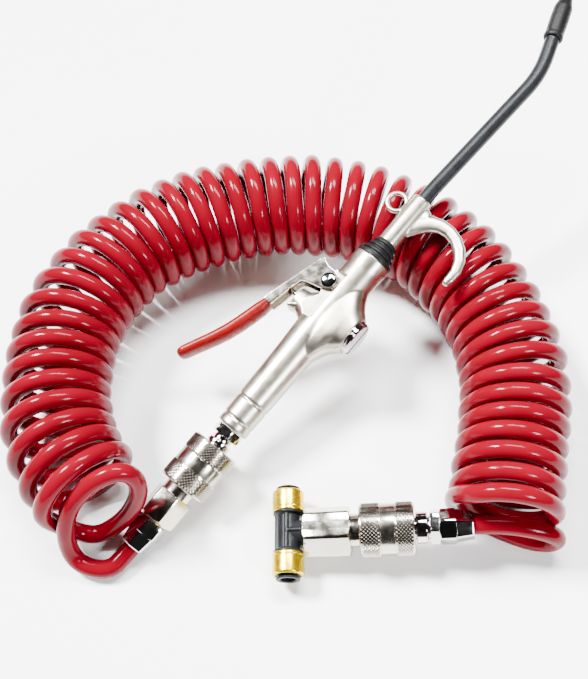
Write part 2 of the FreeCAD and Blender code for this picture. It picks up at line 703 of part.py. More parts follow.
def lever_grip():
    """Red dipped grip round the tang, rounded at its free end."""
    grip_line = [(131, 31.7)] + GRIP_LINE[1:] + [(76.5, 51.4)]
    upper = offset_line(grip_line, -3.0)
    lower = offset_line(grip_line, 3.0)
    grip = plate_between(upper, lower, size("grip_half_width"))
    long_edges = [edge for edge in grip.Edges if edge.Length > 20]
    grip = grip.makeFillet(1.8, long_edges)
    tang = plate_between(offset_line(GRIP_LINE, -1.15), offset_line(GRIP_LINE, 1.15),
                         size("tang_half_width") + size("slide_gap"))
    return solid_feature("lever_grip", grip.cut(tang), GUN)


def lever_pin():
    """Pivot pin with a domed head on each side of the lever."""
    half = size("lever_half_width")
    pivot = Vec(size("pivot_x"), size("pivot_y"), 0)
    gap = size("slide_gap")
    shank = Part.makeCylinder(size("pin_radius"), 2 * (half + gap + 0.8),
                              pivot - Vec(0, 0, half + gap + 0.8))
    low = Part.makeCone(2.2, 3.0, 0.9, pivot - Vec(0, 0, half + gap + 0.9))
    high = Part.makeCone(3.0, 2.2, 0.9, pivot + Vec(0, 0, half + gap))
    return solid_feature("lever_pivot_pin", shank.fuse(low).fuse(high), GUN)


# ------------------------------------------------- nozzle, collar and hanger hook

def nozzle_collar():
    """Ribbed black collar between the gun body and the hook barrel."""
    bore = "tube_radius + slide_gap"
    outline = [("body_end + slide_gap", bore), ("body_end + slide_gap", "grip_radius + 0.6"),
               ("body_end + 2.2", "grip_radius + 0.6")]
    radius = 10.2
    station = 2.2
    for _ in range(3):
        outline += [("body_end + %.1f" % (station + 0.4), "%.2f" % (radius - 0.9)),
                    ("body_end + %.1f" % (station + 1.3), "%.2f" % (radius - 1.1)),
                    ("body_end + %.1f" % (station + 1.7), "%.2f" % (radius - 0.4)),
                    ("body_end + %.1f" % (station + 3.2), "%.2f" % (radius - 0.7))]
        station += 3.4
        radius -= 1.1
    outline += [("barrel_start - slide_gap", "6.6"), ("barrel_start - slide_gap", bore)]
    turned("nozzle_collar", outline, GUN)
    ring = [("body_end - 5", "tube_radius + slide_gap"), ("body_end - 5", "outlet_radius - slide_gap"),
            ("body_end - 3.4", "outlet_radius - slide_gap"), ("body_end - 3.4", "tube_radius + slide_gap")]
    turned("nozzle_seal", ring, GUN)


HOOK_OUTER = [(231.5, 5), (231.4, 12), (230.4, 19.1), (227.3, 29.6), (221.6, 38.1), (216.2, 42.7),
              (209, 45.0), (202.6, 44.4), (199.4, 42.4)]
HOOK_INNER = [(204, 3), (210.5, 4), (216.5, 7.2), (221.3, 14.1), (222.6, 23.4), (219.6, 31.4),
              (213.3, 36.9), (206.9, 38.5), (200.4, 39.6)]


def hanger_hook():
    """Cast hook, barrel and hang ring in one piece on the nozzle tube."""
    start = size("barrel_start")
    barrel = Part.makeCylinder(size("barrel_radius"), size("barrel_end") - start,
                               Vec(start, 0, 0), Vec(1, 0, 0))
    half = size("hook_thickness") / 2
    outer = [(x, -y) for x, y in HOOK_OUTER]
    inner = [(x, -y) for x, y in HOOK_INNER]
    hook = plate_between(outer, inner, half)
    ring_centre = Vec(size("ring_x"), size("ring_y"), -size("ring_thickness") / 2)
    ring = Part.makeCylinder(size("ring_outer"), size("ring_thickness"), ring_centre)
    eye = Part.makeCylinder(size("ring_hole"), 4 * size("ring_thickness"),
                            ring_centre - Vec(0, 0, size("ring_thickness")))
    bore = Part.makeCylinder(size("tube_radius") + size("slide_gap"), 60, Vec(start - 10, 0, 0),
                             Vec(1, 0, 0))
    shape = barrel.fuse(hook).fuse(ring).cut(eye).cut(bore).removeSplitter()
    return solid_feature("hanger_hook", shape, GUN)


def heading_vector(heading):
    return Vec(math.cos(heading), math.sin(heading), 0)


def arc_step(start, heading, radius, turn):
    """An arc that turns a heading, with its end point and the new heading."""
    centre_side = math.copysign(radius, turn)

    def inward(angle):
        return Vec(-math.sin(angle), math.cos(angle), 0) * centre_side

    centre = start + inward(heading)
    middle = centre - inward(heading + turn / 2)
    end = centre - inward(heading + turn)
    return Part.Arc(start, middle, end).toShape(), end, heading + turn


def nozzle_path():
    """Straight tube with a slight lean to the hook side, then a bend to the lever side."""
    start = Vec(size("tube_start"), 0, 0)
    lean = Vec(size("lean_start"), 0, 0)
    lean_turn = -math.radians(size("lean_angle"))
    lean_arc, after_lean, heading = arc_step(lean, 0, size("lean_radius"), lean_turn)
    bend = after_lean + heading_vector(heading) * size("leaning_length")
    bend_arc, after_bend, heading = arc_step(bend, heading, size("bend_radius"),
                                             math.radians(size("bend_angle")))
    tail = after_bend + heading_vector(heading) * size("tube_tail")
    path = Part.Wire([Part.LineSegment(start, lean).toShape(), lean_arc,
                      Part.LineSegment(after_lean, bend).toShape(), bend_arc,
                      Part.LineSegment(after_bend, tail).toShape()])
    return path, tail, heading


def nozzle():
    path, tail, heading = nozzle_path()
    ring = [Part.Wire([Part.Circle(Vec(size("tube_start"), 0, 0), Vec(1, 0, 0), radius).toShape()])
            for radius in (size("tube_radius"), size("tube_bore"))]
    outer = path.makePipeShell([ring[0]], True, False)
    inner = path.makePipeShell([ring[1]], True, False)
    solid_feature("nozzle_tube", outer.cut(inner), GUN)
    body = new_body("nozzle_tip")
    revolve(body, [
        ("-10", "tube_radius + slide_gap"), ("-10", "tip_radius - 0.3"), ("-9.4", "tip_radius"),
        ("12", "tip_radius - 0.2"), ("tip_length - 10.6", "3.2"), ("tip_length - 10", "2.6"),
        ("tip_length - 10", "1.5"), ("0.5", "1.5"), ("slide_gap", "tube_radius + slide_gap"),
    ])
    turn = FreeCAD.Rotation(math.degrees(heading), 0, 0)
    keep(body, "nozzle_tip", GUN.multiply(FreeCAD.Placement(tail, turn)))


# ------------------------------------------------------------------------- tee

def tee_body():
    """Moulded run with ribs and a short branch that screws to the line coupler."""
    side = [
        ("0", "-run_half"), ("run_radius + 0.3", "-run_half"), ("run_radius + 0.3", "-tee_ring_start"),
        ("run_radius + 1.4", "-tee_ring_start"), ("run_radius + 1.4", "-tee_ring_start + 1.2"),
        ("run_radius - 0.4", "-tee_ring_start + 1.8"), ("run_radius - 0.4", "tee_ring_start - 1.8"),
        ("run_radius + 1.4", "tee_ring_start - 1.2"), ("run_radius + 1.4", "tee_ring_start"),
        ("run_radius + 0.3", "tee_ring_start"), ("run_radius + 0.3", "run_half"), ("0", "run_half"),
    ]
    body = new_body("tee_body")
    revolve(body, side, axis="V_Axis", name="run")
    branch = [("0", "0"), ("0", "7.4"), ("7.6", "7.4"), ("8.2", "8.6"), ("9", "8.6"), ("9", "0")]
    revolve(body, branch, name="branch")
    port = [
        ("0", "-run_half - 1"), ("collet_radius - 0.9", "-run_half - 1"),
        ("collet_radius - 0.9", "-12"), ("tube_port", "-12"), ("tube_port", "-7"), ("3", "-6.4"),
        ("3", "6.4"), ("tube_port", "7"), ("tube_port", "12"), ("collet_radius - 0.9", "12"),
        ("collet_radius - 0.9", "run_half + 1"), ("0", "run_half + 1"),
    ]
    revolve(body, port, kind="PartDesign::Groove", axis="V_Axis", name="ports")
    socket = [("0", "0"), ("0", "2.9"), ("4.4", "2.9"), ("4.4", "4.6"), ("10", "4.6"), ("10", "0")]
    revolve(body, socket, kind="PartDesign::Groove", name="branch_bore")
    return keep(body, "tee_body", LINE)


def tee_stem():
    """Threaded metal stem held in the branch."""
    end = "coupler_offset - line_hex_extra + thread_length"
    outline = [
        ("4.5", "2.9"), ("4.5", "4.55"), ("9.1", "4.55"), ("9.1", "thread_radius - slide_gap"),
        (end, "thread_radius - slide_gap"), (end, "2.9"),
    ]
    turned("tee_stem", outline, LINE)


def on_run_axis(label, outline, sign):
    """A piece turned about the tee's run, on one side of the branch."""
    body = new_body(label)
    revolve(body, [(radius, "(%s) * %d" % (height, sign)) for radius, height in outline], axis="V_Axis")
    return keep(body, label, LINE)


def tee_port(side, sign):
    """Anodised ring, release collet, steel grab ring and tube seal of one port."""
    on_run_axis("tee_ring_" + side, [
        ("run_radius + 0.35", "tee_ring_start + 0.1"), ("tee_ring_radius - 0.5", "tee_ring_start + 0.1"),
        ("tee_ring_radius", "tee_ring_start + 0.6"), ("tee_ring_radius", "run_half - 0.4"),
        ("tee_ring_radius - 0.8", "run_half + 0.3"), ("run_radius + 0.35", "run_half + 0.3"),
    ], sign)
    on_run_axis("collet_" + side, [
        ("tube_port", "17"), ("5.2", "17"), ("5.2", "run_half + 1.3"),
        ("collet_radius + 0.4", "run_half + 1.3"), ("collet_radius + 0.4", "collet_reach - 0.4"),
        ("collet_radius", "collet_reach"), ("tube_port + 0.3", "collet_reach"),
        ("tube_port", "collet_reach - 0.4"),
    ], sign)
    on_run_axis("grab_ring_" + side, [
        ("tube_port + 0.05", "15.2"), ("5.25", "14.6"), ("5.25", "15"), ("tube_port + 0.05", "15.6"),
    ], sign)
    on_run_axis("tube_seal_" + side, [
        ("tube_port + 0.05", "12.1"), ("5.25", "12.1"), ("5.25", "14.1"), ("tube_port + 0.05", "14.1"),
    ], sign)


# ------------------------------------------------------------------------ hose

def floor_point(x, y, z):
    return Vec(x, y, z) - origin_shift()


def tangent_path(points, name):
    """Straight runs joined by arcs, each as large as its two runs allow."""
    edges = []
    start = points[0]
    radii = []
    for index in range(1, len(points) - 1):
        before, corner, after = points[index - 1], points[index], points[index + 1]
        back = (before - corner).normalize()
        ahead = (after - corner).normalize()
        half_turn = (math.pi - back.getAngle(ahead)) / 2
        reach = 0.45 * min(before.distanceToPoint(corner), corner.distanceToPoint(after))
        radius = reach / math.tan(half_turn)
        first = corner + back * reach
        last = corner + ahead * reach
        towards = (back + ahead).normalize()
        middle = corner + towards * (radius / math.cos(half_turn) - radius)
        edges.append(Part.LineSegment(start, first).toShape())
        edges.append(Part.Arc(first, middle, last).toShape())
        radii.append(round(radius, 1))
        start = last
    edges.append(Part.LineSegment(start, points[-1]).toShape())
    path = Part.Wire(edges)
    print(name, "length %.1f mm, radii" % path.Length, radii)
    return path


def tube_along(path, points, radius):
    direction = (points[1] - points[0]).normalize()
    section = Part.Wire([Part.Circle(points[0], direction, radius).toShape()])
    solid = path.makePipeShell([section], True, False)
    expected = math.pi * radius ** 2 * path.Length
    print("  volume over section x length: %.4f" % (solid.Volume / expected))
    return solid


def hose_lead(label, points):
    """Hollow hose laid along a route."""
    path = tangent_path(points, label)
    outer = tube_along(path, points, size("hose_radius"))
    inner = tube_along(path, points, size("hose_bore"))
    return solid_feature(label, outer.cut(inner), FreeCAD.Placement())


HOSE_COIL_ROUTE = [
    (-103.5, -119.5, 31), (-124, -84.5, 31), (-132.5, -44, 31), (-129, -2, 31), (-108, 35, 31),
    (-74, 62, 31), (-31, 76, 31), (12, 79, 31), (54, 70, 31), (89, 44, 31), (113, 9, 31),
    (125.5, -34, 31), (122, -70, 31), (116.5, -97, 31), (111.9, -116.5, 31),
]


def hose():
    """Lead from the gun coupler, the coil as one fat tube, and the line lead."""
    nut_inside = GUN.multVec(Vec(-8, 0, 0))
    below_nut = GUN.multVec(Vec(-27.5, 0, 0))
    lead_in = [nut_inside, below_nut] + [floor_point(*place) for place in (
        (-103.2, -139.8, 5), (-119.2, -142.0, 19.5), (-123.6, -134.5, 31))]
    hose_lead("hose_lead_in", lead_in)
    centre = [floor_point(*place) for place in HOSE_COIL_ROUTE]
    path = tangent_path(centre, "hose_coil")
    solid_feature("hose_coil", tube_along(path, centre, size("coil_radius")), FreeCAD.Placement())
    line_inside = LINE_COUPLER.multVec(Vec(size("coupler_end") + 20.1, 0, 0))
    past_nut = LINE_COUPLER.multVec(Vec(size("coupler_end") + 43, 0, 0))
    lead_out = [line_inside, past_nut] + [floor_point(*place) for place in (
        (122, -127, 28.5), (135, -127.6, 26), (143, -128.4, 15), (136, -129, 5),
        (123, -127.6, 5), (106, -121.5, 5), (93, -117, 6.2), (86.6, -112.5, 17),
        (86.3, -112.3, 31))]
    hose_lead("hose_lead_out", lead_out)


# --------------------------------------------------------------------- assembly

def build_gun():
    inlet_plug()
    gun_body()
    valve_parts()
    valve_spring()
    lever()
    lever_grip()
    lever_pin()
    nozzle_collar()
    hanger_hook()
    nozzle()


def build_gun_coupler():
    quick_coupler("gun_coupler", "0", "gun_hex_across", GUN)
    hose_connector()
    behind = FreeCAD.Placement(Vec(-1, 0, 0), FreeCAD.Rotation(Vec(0, 0, 1), 180))
    hose_nut("gun_hose_nut", GUN.multiply(behind))


def build_line_end():
    quick_coupler("line_coupler", "-line_hex_extra", "line_hex_across", LINE_COUPLER)
    line_plug()
    hose_nut("line_hose_nut", moved(LINE_COUPLER, size("coupler_end") + 13.1))
    tee_body()
    tee_stem()
    tee_port("back", 1)
    tee_port("front", -1)


def check_everything():
    for thing in doc.Objects:
        if "Invalid" in thing.State or "Error" in thing.State:
            raise ValueError("failed object: " + thing.Label)
    for thing in node_objects:
        shape = thing.Shape
        if shape.isNull() or not shape.isValid() or not shape.Solids:
            raise ValueError("bad shape: " + thing.Label)


def report_box():
    """Print the box of the whole part and of the part without the loose hose end."""
    whole = FreeCAD.BoundBox()
    gun_only = FreeCAD.BoundBox()
    for thing in node_objects:
        whole.add(thing.Shape.BoundBox)
        loose = thing.Label.startswith(("hose", "line", "tee", "collet", "grab", "tube"))
        if not loose:
            gun_only.add(thing.Shape.BoundBox)
    print("whole", whole)
    print("gun side", gun_only, "centre", gun_only.Center)


build_gun()
build_gun_coupler()
build_line_end()
hose()
doc.recompute()
check_everything()
os.makedirs("parts", exist_ok=True)
for thing in node_objects:
    thing.Shape.exportStep("parts/%s.step" % thing.Label)
report_box()
print(len(node_objects), "nodes")
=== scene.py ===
import bpy
import bmesh
import math
from mathutils import Matrix, Vector


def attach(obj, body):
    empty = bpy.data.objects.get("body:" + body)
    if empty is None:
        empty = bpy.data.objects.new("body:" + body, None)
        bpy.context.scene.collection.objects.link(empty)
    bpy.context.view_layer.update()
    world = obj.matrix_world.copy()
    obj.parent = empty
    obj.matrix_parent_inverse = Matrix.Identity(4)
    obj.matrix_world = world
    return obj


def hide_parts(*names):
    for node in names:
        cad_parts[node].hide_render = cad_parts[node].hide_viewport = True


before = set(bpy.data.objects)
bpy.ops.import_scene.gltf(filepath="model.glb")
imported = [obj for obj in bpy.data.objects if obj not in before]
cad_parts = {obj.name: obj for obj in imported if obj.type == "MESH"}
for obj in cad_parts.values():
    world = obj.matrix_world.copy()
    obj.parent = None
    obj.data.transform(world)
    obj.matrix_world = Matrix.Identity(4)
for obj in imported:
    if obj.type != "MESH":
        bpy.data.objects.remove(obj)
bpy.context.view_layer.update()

# Lengths in this script are in millimetres unless a name or a comment says
# otherwise; MM turns them into Blender's metres.
MM = 0.001
SHIFT = Vector((36.667, 18.99, 0))


# ------------------------------------------------------------------ placements

def rotation_about_z(degrees):
    return Matrix.Rotation(math.radians(degrees), 4, "Z")


def rotation_about_y(degrees):
    return Matrix.Rotation(math.radians(degrees), 4, "Y")


def placed(origin, heading, pitch):
    """Frame whose X axis points along the heading, raised by the pitch; still in mm."""
    start = Vector(origin) - SHIFT
    return Matrix.Translation(start) @ rotation_about_z(heading) @ rotation_about_y(-pitch)


def shifted(place, x=0, y=0, z=0):
    return place @ Matrix.Translation((x, y, z))


GUN = placed((-75.2, -118.0, 12.12), 48.7, 14.4)
LINE = placed((-3.1, -126.0, 12.6), 0, 8.0)
LINE_COUPLER = shifted(LINE, 16.7)
NUT_LENGTH = 17.6
GUN_NUT = shifted(GUN, -1) @ rotation_about_z(180)
LINE_NUT = shifted(LINE_COUPLER, 64.1)


# ---------------------------------------------------------------------- camera

def add_camera():
    data = bpy.data.cameras.new("camera")
    data.sensor_fit = "VERTICAL"
    data.sensor_height = 36
    data.lens = 53.02
    camera = bpy.data.objects.new("camera", data)
    camera.location = (Vector((0, -295.25, 532.65)) - SHIFT) * MM
    camera.rotation_euler = (math.radians(29), 0, 0)
    bpy.context.scene.collection.objects.link(camera)
    bpy.context.scene.camera = camera


add_camera()


# ------------------------------------------------------------------- materials

def new_material(name):
    material = bpy.data.materials.new(name)
    material.use_nodes = True
    nodes = material.node_tree.nodes
    return material, nodes, material.node_tree.links, nodes["Principled BSDF"]


def set_inputs(node, **values):
    for name, value in values.items():
        node.inputs[name.replace("_", " ")].default_value = value


def noise(nodes, links, scale, detail=4, stretch=(1, 1, 1)):
    """Noise in object space, so that it stays on the piece."""
    place = nodes.new("ShaderNodeTexCoord")
    mapping = nodes.new("ShaderNodeMapping")
    mapping.inputs["Scale"].default_value = stretch
    links.new(place.outputs["Object"], mapping.inputs["Vector"])
    texture = nodes.new("ShaderNodeTexNoise")
    set_inputs(texture, Scale=scale, Detail=detail)
    links.new(mapping.outputs["Vector"], texture.inputs["Vector"])
    return texture.outputs["Fac"]


def ranged(nodes, links, value, low, high, start=0.3, end=0.7):
    """Maps a factor from start..end to low..high."""
    node = nodes.new("ShaderNodeMapRange")
    node.inputs["From Min"].default_value = start
    node.inputs["From Max"].default_value = end
    node.inputs["To Min"].default_value = low
    node.inputs["To Max"].default_value = high
    links.new(value, node.inputs["Value"])
    return node.outputs["Result"]


def two_colours(nodes, links, value, first, second):
    node = nodes.new("ShaderNodeMix")
    node.data_type = "RGBA"
    node.inputs["A"].default_value = (*first, 1)
    node.inputs["B"].default_value = (*second, 1)
    links.new(value, node.inputs["Factor"])
    return node.outputs["Result"]


def bumped(nodes, links, shader, height, strength, distance):
    node = nodes.new("ShaderNodeBump")
    node.inputs["Strength"].default_value = strength
    node.inputs["Distance"].default_value = distance
    links.new(height, node.inputs["Height"])
    links.new(node.outputs["Normal"], shader.inputs["Normal"])


def hollow_shade_mask(nodes, links, low=0.5, high=0.56):
    """1 on convex crests, 0 in hollows: the mask for painted shade in the hollows."""
    geometry = nodes.new("ShaderNodeNewGeometry")
    return ranged(nodes, links, geometry.outputs["Pointiness"], 0, 1, low, high)


def metal(name, colour, second, rough_low, rough_high, grain=0.0, grain_scale=2500, cloud=60):
    """Metal with soft clouding, a varied gloss and, if asked, a fine blasted grain."""
    material, nodes, links, shader = new_material(name)
    set_inputs(shader, Metallic=1.0)
    clouds = noise(nodes, links, cloud, 3)
    shade = ranged(nodes, links, clouds, 0, 1)
    links.new(two_colours(nodes, links, shade, colour, second), shader.inputs["Base Color"])
    patches = noise(nodes, links, cloud * 4, 5)
    links.new(ranged(nodes, links, patches, rough_low, rough_high), shader.inputs["Roughness"])
    if grain:
        bumped(nodes, links, shader, noise(nodes, links, grain_scale, 2), grain, 0.0002)
    return material


def satin_nickel():
    return metal("satin_nickel", (0.42, 0.385, 0.315), (0.52, 0.48, 0.41),
                 0.27, 0.37, 0.12, 3500, 40)


def bright_nickel():
    return metal("bright_nickel", (0.46, 0.42, 0.355), (0.56, 0.525, 0.46),
                 0.10, 0.20, 0.05, 2500, 60)


def knurled_nickel():
    """Nickel with painted shade, a dark base colour, in the knurl's grooves, and a lighter colour
    on its crests.
    """
    material, nodes, links, shader = new_material("knurled_nickel")
    set_inputs(shader, Metallic=1.0)
    crest = hollow_shade_mask(nodes, links, 0.46, 0.54)
    # The dark groove colour is painted shade; the crests get a lighter colour.
    links.new(two_colours(nodes, links, crest, (0.17, 0.15, 0.12), (0.66, 0.62, 0.54)),
              shader.inputs["Base Color"])
    links.new(ranged(nodes, links, noise(nodes, links, 240, 5), 0.14, 0.24),
              shader.inputs["Roughness"])
    return material


def chrome():
    return metal("chrome", (0.52, 0.51, 0.50), (0.62, 0.61, 0.60), 0.04, 0.1, 0, 0, 50)


def brass():
    return metal("brass", (0.42, 0.28, 0.09), (0.50, 0.36, 0.14), 0.2, 0.35, 0.1, 3000, 90)


def spring_steel():
    return metal("spring_steel", (0.45, 0.45, 0.46), (0.6, 0.6, 0.6), 0.2, 0.35, 0.08, 3000, 90)


def gold_ring():
    """Yellow anodised aluminium, brushed round the ring."""
    material = metal("gold_ring", (0.62, 0.42, 0.0005), (0.72, 0.52, 0.0010),
                     0.20, 0.30, 0.06, 3000, 90)
    shader = material.node_tree.nodes["Principled BSDF"]
    set_inputs(shader, Metallic=0.92, Specular_IOR_Level=0.1)
    return material


def red_hose():
    """Glossy polyurethane: deep red, with faint flow lines in its skin."""
    material, nodes, links, shader = new_material("red_hose")
    shade = ranged(nodes, links, noise(nodes, links, 35, 3), 0, 1)
    colour = two_colours(nodes, links, shade, (0.105, 0.0002, 0.0045), (0.135, 0.0003, 0.0070))
    links.new(colour, shader.inputs["Base Color"])
    links.new(ranged(nodes, links, noise(nodes, links, 260, 4), 0.10, 0.18),
              shader.inputs["Roughness"])
    set_inputs(shader, IOR=1.5, Specular_IOR_Level=0.09)
    bumped(nodes, links, shader, noise(nodes, links, 180, 3), 0.12, 0.0006)
    return material


def red_grip():
    """Dipped vinyl: orange red, thick, with a slightly uneven skin."""
    material, nodes, links, shader = new_material("red_grip")
    shade = ranged(nodes, links, noise(nodes, links, 120, 3), 0, 1)
    colour = two_colours(nodes, links, shade, (0.120, 0.0014, 0.0018), (0.150, 0.0022, 0.0026))
    links.new(colour, shader.inputs["Base Color"])
    links.new(ranged(nodes, links, noise(nodes, links, 400, 4), 0.22, 0.36),
              shader.inputs["Roughness"])
    set_inputs(shader, IOR=1.5, Specular_IOR_Level=0.10)
    bumped(nodes, links, shader, noise(nodes, links, 220, 3), 0.2, 0.0006)
    return material


def dark(name, colour, second, rough_low, rough_high, bump_scale, bump):
    material, nodes, links, shader = new_material(name)
    set_inputs(shader, Specular_IOR_Level=0.12)
    shade = ranged(nodes, links, noise(nodes, links, 90, 4), 0, 1)
    links.new(two_colours(nodes, links, shade, colour, second), shader.inputs["Base Color"])
    links.new(ranged(nodes, links, noise(nodes, links, 500, 4), rough_low, rough_high),
              shader.inputs["Roughness"])
    bumped(nodes, links, shader, noise(nodes, links, bump_scale, 3), bump, 0.0003)
    return material


def black_rubber():
    return dark("black_rubber", (0.003, 0.003, 0.0033), (0.006, 0.006, 0.0065),
                0.36, 0.52, 1800, 0.25)


def black_tube():
    return dark("black_tube", (0.006, 0.0065, 0.0075), (0.011, 0.012, 0.0135),
                0.26, 0.38, 2600, 0.15)


def black_plastic():
    return dark("black_plastic", (0.005, 0.0055, 0.0065), (0.010, 0.011, 0.0125),
                0.26, 0.4, 1500, 0.15)


MATERIALS = {
    "satin_nickel": satin_nickel(), "bright_nickel": bright_nickel(),
    "knurled_nickel": knurled_nickel(), "chrome": chrome(),
    "brass": brass(), "spring_steel": spring_steel(), "gold_ring": gold_ring(),
    "red_hose": red_hose(), "red_grip": red_grip(), "black_rubber": black_rubber(),
    "black_tube": black_tube(), "black_plastic": black_plastic(),
}


# ------------------------------------------------------------------ mesh tools

def link(thing):
    bpy.context.scene.collection.objects.link(thing)
    return thing


def evaluated_mesh(thing):
    """The thing's mesh with its modifiers applied."""
    graph = bpy.context.evaluated_depsgraph_get()
    return bpy.data.meshes.new_from_object(thing.evaluated_get(graph), depsgraph=graph)


def mesh_piece(name, vertices, faces, place, sharp=35):
    """Piece from local points in mm; edges sharper than the angle stay crisp."""
    mesh = bpy.data.meshes.new(name)
    mesh.from_pydata([tuple((place @ Vector(point)) * MM) for point in vertices], [], faces)
    tidy = bmesh.new()
    tidy.from_mesh(mesh)
    bmesh.ops.remove_doubles(tidy, verts=tidy.verts, dist=1e-6)
    bmesh.ops.recalc_face_normals(tidy, faces=tidy.faces)
    tidy.to_mesh(mesh)
    tidy.free()
    smooth(mesh, sharp)
    return link(bpy.data.objects.new(name, mesh))


def smooth(mesh, sharp):
    for polygon in mesh.polygons:
        polygon.use_smooth = True
    mesh.set_sharp_from_angle(angle=math.radians(sharp))


def baked(thing, sharp=35):
    """Replaces the thing's mesh by its evaluated one and drops the modifiers."""
    mesh = evaluated_mesh(thing)
    thing.modifiers.clear()
    thing.data = mesh
    smooth(mesh, sharp)
    return thing


def bevelled(thing, width, segments=2, angle=30):
    modifier = thing.modifiers.new("bevel", "BEVEL")
    modifier.width = width * MM
    modifier.segments = segments
    modifier.limit_method = "ANGLE"
    modifier.angle_limit = math.radians(angle)
    modifier.use_clamp_overlap = True
    return baked(thing, 40)


def joined(name, things):
    """One piece from several, in the order given."""
    build = bmesh.new()
    for thing in things:
        build.from_mesh(thing.data)
    mesh = bpy.data.meshes.new(name)
    build.to_mesh(mesh)
    build.free()
    for thing in things:
        old = thing.data
        bpy.data.objects.remove(thing)
        bpy.data.meshes.remove(old)
    return link(bpy.data.objects.new(name, mesh))


def rounded_corners(points, radius, steps=4):
    """Polyline whose inner corners are rounded; a point may carry its own radius as third value."""
    result = [tuple(points[0][:2])]
    for index in range(1, len(points) - 1):
        corner = Vector(points[index][:2])
        before = Vector(points[index - 1][:2]) - corner
        after = Vector(points[index + 1][:2]) - corner
        own = points[index][2] if len(points[index]) > 2 else radius
        reach = min(own, 0.45 * before.length, 0.45 * after.length)
        if reach < 0.02:
            result.append(tuple(corner))
            continue
        first = corner + before.normalized() * reach
        last = corner + after.normalized() * reach
        for step in range(steps + 1):
            t = step / steps
            point = first * (1 - t) ** 2 + corner * 2 * t * (1 - t) + last * t ** 2
            result.append(tuple(point))
    result.append(tuple(points[-1][:2]))
    return result


def ring_faces(rows, columns, closed=False):
    """Quads of a grid that is closed round its columns, and along its rows if asked."""
    faces = []
    last = rows if closed else rows - 1
    for row in range(last):
        below, above = row * columns, ((row + 1) % rows) * columns
        for column in range(columns):
            step = (column + 1) % columns
            faces.append((below + column, below + step, above + step, above + column))
    return faces


def lathe(name, outline, place, corner=0.25, columns=96, shape=None, closed=False, sharp=35):
    """Turned piece about the local X axis; outline is (station, radius) pairs.

    shape(angle, radius) may change the radius round the piece.
    """
    rows = rounded_corners(outline, corner)
    vertices = []
    for station, radius in rows:
        for column in range(columns):
            angle = 2 * math.pi * column / columns
            own = shape(angle, radius) if shape else radius
            vertices.append((station, own * math.cos(angle), own * math.sin(angle)))
    return mesh_piece(name, vertices, ring_faces(len(rows), columns, closed), place, sharp)


def hexagon_radius(angle, across):
    turn = (angle + math.pi / 6) % (math.pi / 3) - math.pi / 6
    return across / 2 / math.cos(turn)


def hex_bar(name, across, start, end, bore, place, chamfer=30, corner_cut=0.3, turn=0,
            start_cut=1.0, end_cut=1.0, columns=144):
    """Hexagonal bar with a turned chamfer at each end and lightly broken corners.

    start_cut and end_cut are how far the corners are turned down at each end.
    """
    corner = across / 2 / math.cos(math.pi / 6)
    slope = math.tan(math.radians(chamfer))
    rings = []
    for kind in ("bore_start", "face_start", "flat_start", "flat_end", "face_end", "bore_end"):
        ring = []
        for column in range(columns):
            angle = 2 * math.pi * column / columns
            limit = min(hexagon_radius(angle, across), corner - corner_cut)
            if kind == "bore_start":
                station, radius = start, bore
            elif kind == "bore_end":
                station, radius = end, bore
            elif kind == "face_start":
                station, radius = start, min(corner - start_cut, limit)
            elif kind == "face_end":
                station, radius = end, min(corner - end_cut, limit)
            elif kind == "flat_start":
                station = start + max(0.02, (limit - (corner - start_cut)) * slope)
                radius = limit
            else:
                station = end - max(0.02, (limit - (corner - end_cut)) * slope)
                radius = limit
            ring.append((station, radius * math.cos(angle + turn), radius * math.sin(angle + turn)))
        rings += ring
    piece = mesh_piece(name, rings, ring_faces(6, columns), place, 25)
    return bevelled(piece, 0.12, 2, 24)


# ----------------------------------------------------------------------- cords

HOSE_DIAMETER = 0.010
HELIX_RADIUS = 26.0
POINTS_PER_TURN = 16
TURNS = 43.36
LEAD_IN = [
    (-98, -143.2, 5), (-107.5, -143.2, 5), (-116.4, -139.4, 5.8), (-120.2, -133.8, 15),
    (-119.2, -128.4, 30), (-115, -121, 43), (-104.6, -113.8, 52.5), (-95, -109.6, 56.8),
    (-86.6, -107.6, 56), (-81.2, -108.6, 49), (-80.6, -111.8, 38), (-84.4, -115.2, 27),
    (-90.4, -118.7, 17.2), (-98.5, -121.9, 9.2), (-107, -124.4, 4.9), (-115.6, -123.8, 6.4),
    (-123.4, -123, 14.6),
]
COIL_ROUTE = [
    (-109.4, -108.6, 31), (-121.2, -93, 31), (-129.6, -73, 31), (-133.4, -42, 31),
    (-129, -2, 31), (-108, 35, 31), (-74, 62, 31), (-31, 76, 31), (12, 79, 31), (54, 70, 31),
    (89, 44, 31), (113, 9, 31), (125, -34, 31), (121, -70, 31), (114.4, -98, 31),
    (110.4, -120.6, 31),
]
LEAD_OUT = [
    (87, -114.4, 42), (84.6, -111, 29.6), (86.2, -110.6, 17), (93, -113, 7.6),
    (104, -118, 5), (118, -124.6, 5), (129.5, -128.6, 5.4), (138, -130.4, 9),
    (140.4, -130.6, 16), (136.6, -130.2, 22.8), (128, -129, 27), (116, -127.4, 29.0),
]


# Stations on the couplers' axes: where the hose's line ends inside each nut, and
# the point past each nut's mouth that it heads for.
GUN_HOSE_END, GUN_HOSE_LEAD = -13, -27.5
LINE_HOSE_END, LINE_HOSE_LEAD = 76, 92


def floor_points(points):
    return [Vector(point) - SHIFT for point in points]


def nurbs_curve(name, points, resolution):
    """Open NURBS spline of order 3 through the ends of these points, given in mm."""
    data = bpy.data.curves.new(name, "CURVE")
    data.dimensions = "3D"
    data.resolution_u = resolution
    spline = data.splines.new("NURBS")
    spline.points.add(len(points) - 1)
    for number, point in enumerate(points):
        spline.points[number].co = (*(point * MM), 1)
    spline.order_u = 3
    spline.use_endpoint_u = True
    return link(bpy.data.objects.new(name, data))


